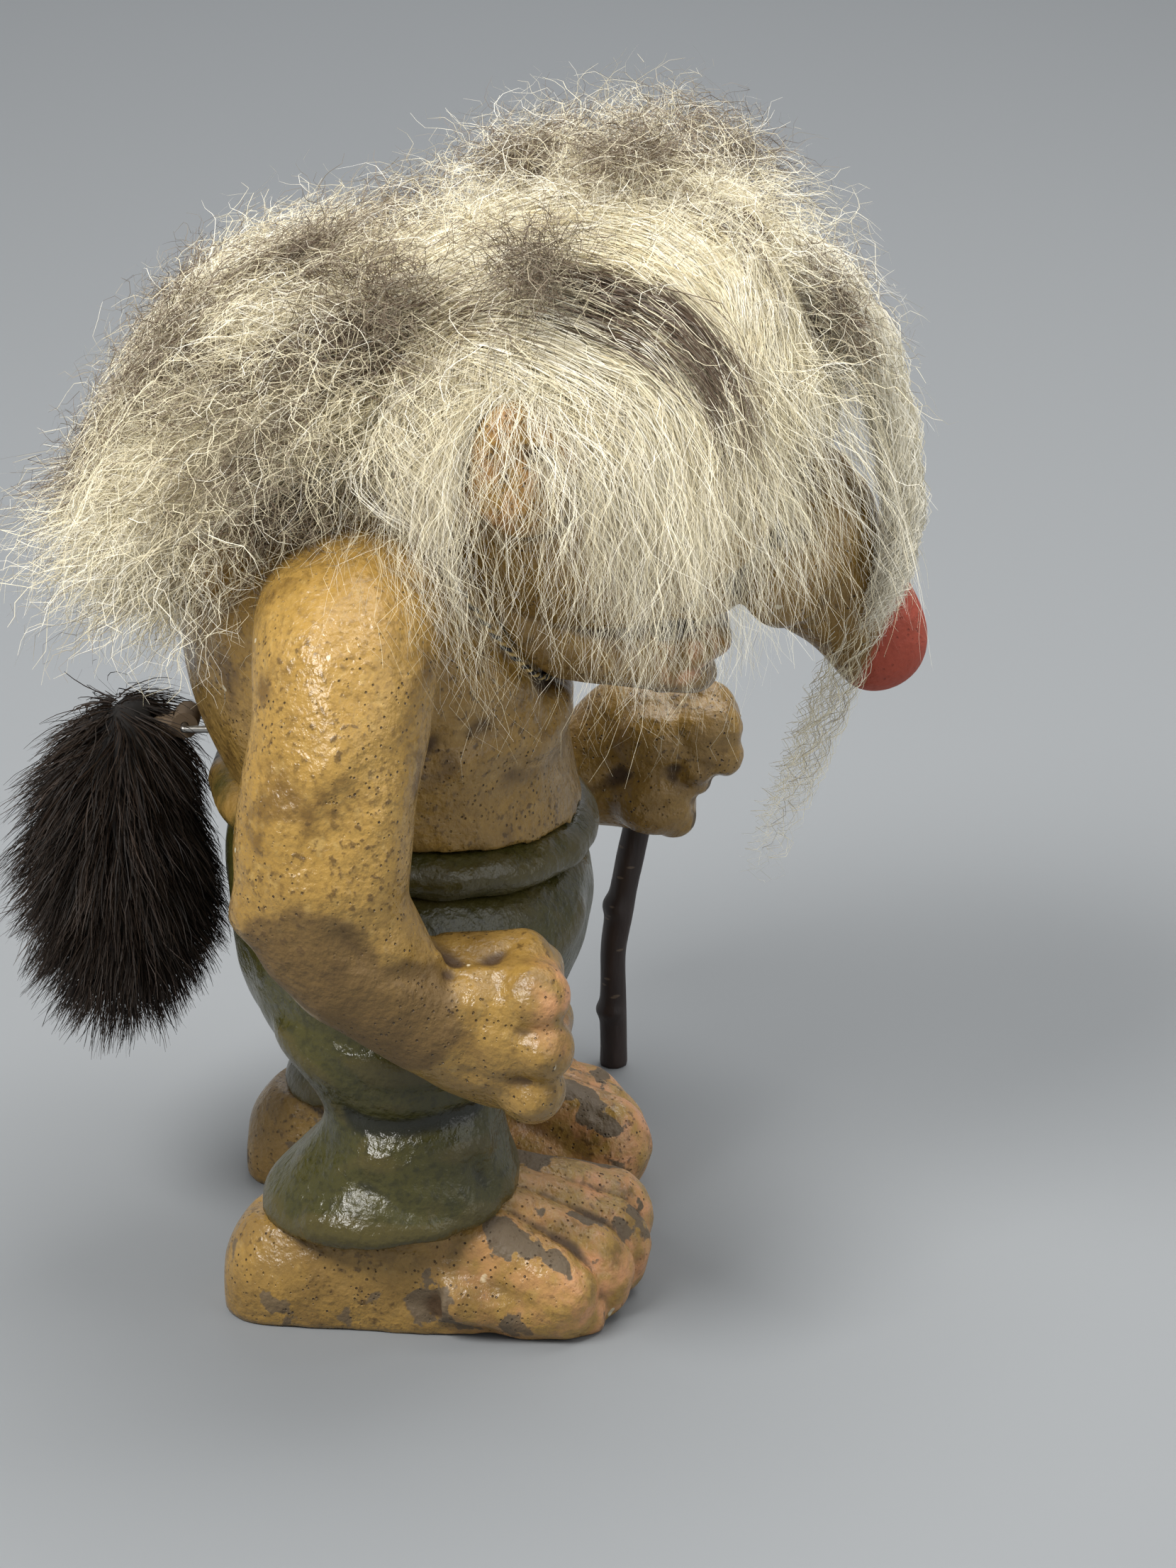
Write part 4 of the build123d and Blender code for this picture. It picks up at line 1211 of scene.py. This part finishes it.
# Brown tufts: short tight curls on the surface
tuftSettings = {
    "each": 430, "length": (8, 24), "stretch": (0.22, 0.60), "stand": (4, 11), "tones": (0.8, 1.0),
    "march": {"steps": 10, "drop": 0.05, "stray": 0.3},
    "crimp": {"wave": 8, "depth": 1.6},
    "strand": {"radius": 0.075, "loose": 0.6},
}
woolTree = solidTree(crown, nape)
roots = []
for side, forward, height, radius in tufts:
    stretch = rng.uniform(*tuftSettings["stretch"], 3) * radius * mm
    cloud = np.array(at(side, forward, height)) + rng.normal(size=(tuftSettings["each"], 3)) * stretch
    roots += [tuple(woolTree.find_nearest(Vector(spot))[0]) for spot in cloud]
roots = np.array(roots)
count = len(roots)
normal = np.array([woolTree.find_nearest(Vector(spot))[1] for spot in roots])
heading = normal * 0.5 + rng.normal(size=(count, 3)) * 0.7
lengths = rng.uniform(*tuftSettings["length"], count) * mm
roots = roots + normal * rng.uniform(*tuftSettings["stand"], (count, 1)) * mm
path, _ = grown(roots, heading, lengths, rng, tuftSettings)
tone = rng.uniform(*tuftSettings["tones"], count)
strands("brownTufts", path, tone, wool, "wool", **tuftSettings["strand"])

# Forelock: a white lock on the ridge of the nose and a sparse crimped one that hangs below
forelockSettings = {
    "noseLock": {
        "guide": (  # side, forward, height, radius
            (0, 56, 212, 15), (-1, 72, 203, 14), (-3, 82, 190, 11), (-5, 87.5, 174, 8),
            (-8, 90, 157, 7), (-11, 87.5, 143, 6.5), (-13, 83, 132, 5.5),
        ),
        "count": 1000, "steps": 15, "late": 0.7, "shortest": 0.6, "wave": 15, "depth": 2.0,
    },
    "hangingLock": {
        "guide": (
            (-9, 86, 152, 7), (-12, 83, 138, 8.5), (-13, 77, 122, 8.5), (-12, 71, 106, 8),
            (-10, 66, 93, 7), (-9, 63, 80, 5),
        ),
        "count": 110, "steps": 30, "late": 0.4, "shortest": 0.45, "wave": 9, "depth": 2.4,
    },
    "radius": {"noseLock": 0.105, "hangingLock": 0.058},
    "tones": {"noseLock": (0, 0.22), "hangingLock": (0.1, 0.9)},
}


def lockAlong(guide, count, steps, late, shortest, wave, depth):
    guide = np.array([(*at(s, f, h), r * mm) for s, f, h, r in guide])
    end = rng.uniform(shortest, 1.0, count)
    start = rng.uniform(0, late, count)[:, None]
    run = np.maximum(end[:, None] - start, 0.2) * np.linspace(0, 1, steps)[None]
    share = np.minimum((start + run) * (len(guide) - 1), len(guide) - 1)
    whole = np.minimum(share.astype(int), len(guide) - 2)
    part = (share - whole)[..., None]
    line = guide[whole] * (1 - part) + guide[whole + 1] * part
    angle = rng.uniform(0, 2 * math.pi, (count, 1))
    reach = np.sqrt(rng.uniform(0, 1, (count, 1))) * line[..., 3]
    spread = np.stack([np.cos(angle) * reach, np.sin(angle) * reach * 0.55, 0 * reach], axis=2)
    path, own = gathered(line[..., :3] + spread, rng, count // 6, 0.25)
    length = np.linalg.norm(np.diff(guide[:, :3], axis=0), axis=1).sum()
    return crimped(path, end * length, own, rng, wave, depth, 0.8)


for name in ("noseLock", "hangingLock"):
    path = lockAlong(**forelockSettings[name])
    tone = rng.uniform(*forelockSettings["tones"][name], len(path))
    lock = strands(name, path, tone, wool, "wool", forelockSettings["radius"][name])
    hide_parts("forelock")
print("locks ready")

# Tail: dense dark fur over a slim core
tailSettings = {
    "core": {"voxel": 1.2, "lumpy": 0.8, "length": 15, "seed": 59},
    "middle": -62, "count": 11500, "length": (9, 22), "radius": 0.115, "root": 112,
    "march": {"steps": 7, "drop": 0.10, "stray": 0.11, "lift": 1.5},
    "gather": {"locks": 420, "share": 0.35},
}
furPaint = Paint("darkFur", Roughness=0.6, Specular_IOR_Level=0.25)
furTone = furPaint.mark("tone")
furPaint.set(Base_Color=furPaint.mix(furTone, (0.007, 0.005, 0.0035), (0.045, 0.027, 0.017)))


def tailShape(side, forward, height):
    middle = tailSettings["middle"]
    slim = middle + (forward - middle) * 0.66 + 2.0 * fade(100 - height, 0, 40)
    return side * 0.72, slim, height + 0.22 * np.maximum(92 - height, 0)


corePaint = Paint("darkFelt", Roughness=0.9)
coreTone = corePaint.mix(corePaint.noise(300, 5), (0.003, 0.0025, 0.002), (0.012, 0.009, 0.007))
corePaint.set(Base_Color=coreTone)
core = undercoat("tailCore", "tail_fur", tailShape, body="tail", **tailSettings["core"])
dress(core, corePaint.material)
seatTree = solidTree(torso, trousers, band, rightArm)
count = tailSettings["count"]
roots, normal = scatter(core, count, lambda s, f, h, n: np.ones(len(s)), rng)
inward = fade(-normal[:, 1], 0.2, 0.9)
low = fade(92 - roots[:, 2] / mm, 0, 40)
heading = normal * (0.9 - 0.3 * inward + 0.5 * low)[:, None] + np.array([0, 0, -0.85])
lengths = rng.uniform(*tailSettings["length"], count) * mm * (1 - 0.25 * inward - 0.25 * low)
path, _ = grown(roots, heading, lengths, rng, tailSettings, seatTree)
above = np.maximum(path[..., 2] - tailSettings["root"] * mm, 0)
path[..., 1] += 0.8 * above  # clear of the back when it swings
tone = np.clip(rng.uniform(0, 0.6, count) + 0.3 * (rng.uniform(size=count) < 0.1), 0, 1)
strands("tailStrands", path, tone, furPaint.material, "dark_fur", tailSettings["radius"], "tail")
bpy.data.objects.remove(profileOb)
print("tail ready")

bpy.context.view_layer.update()
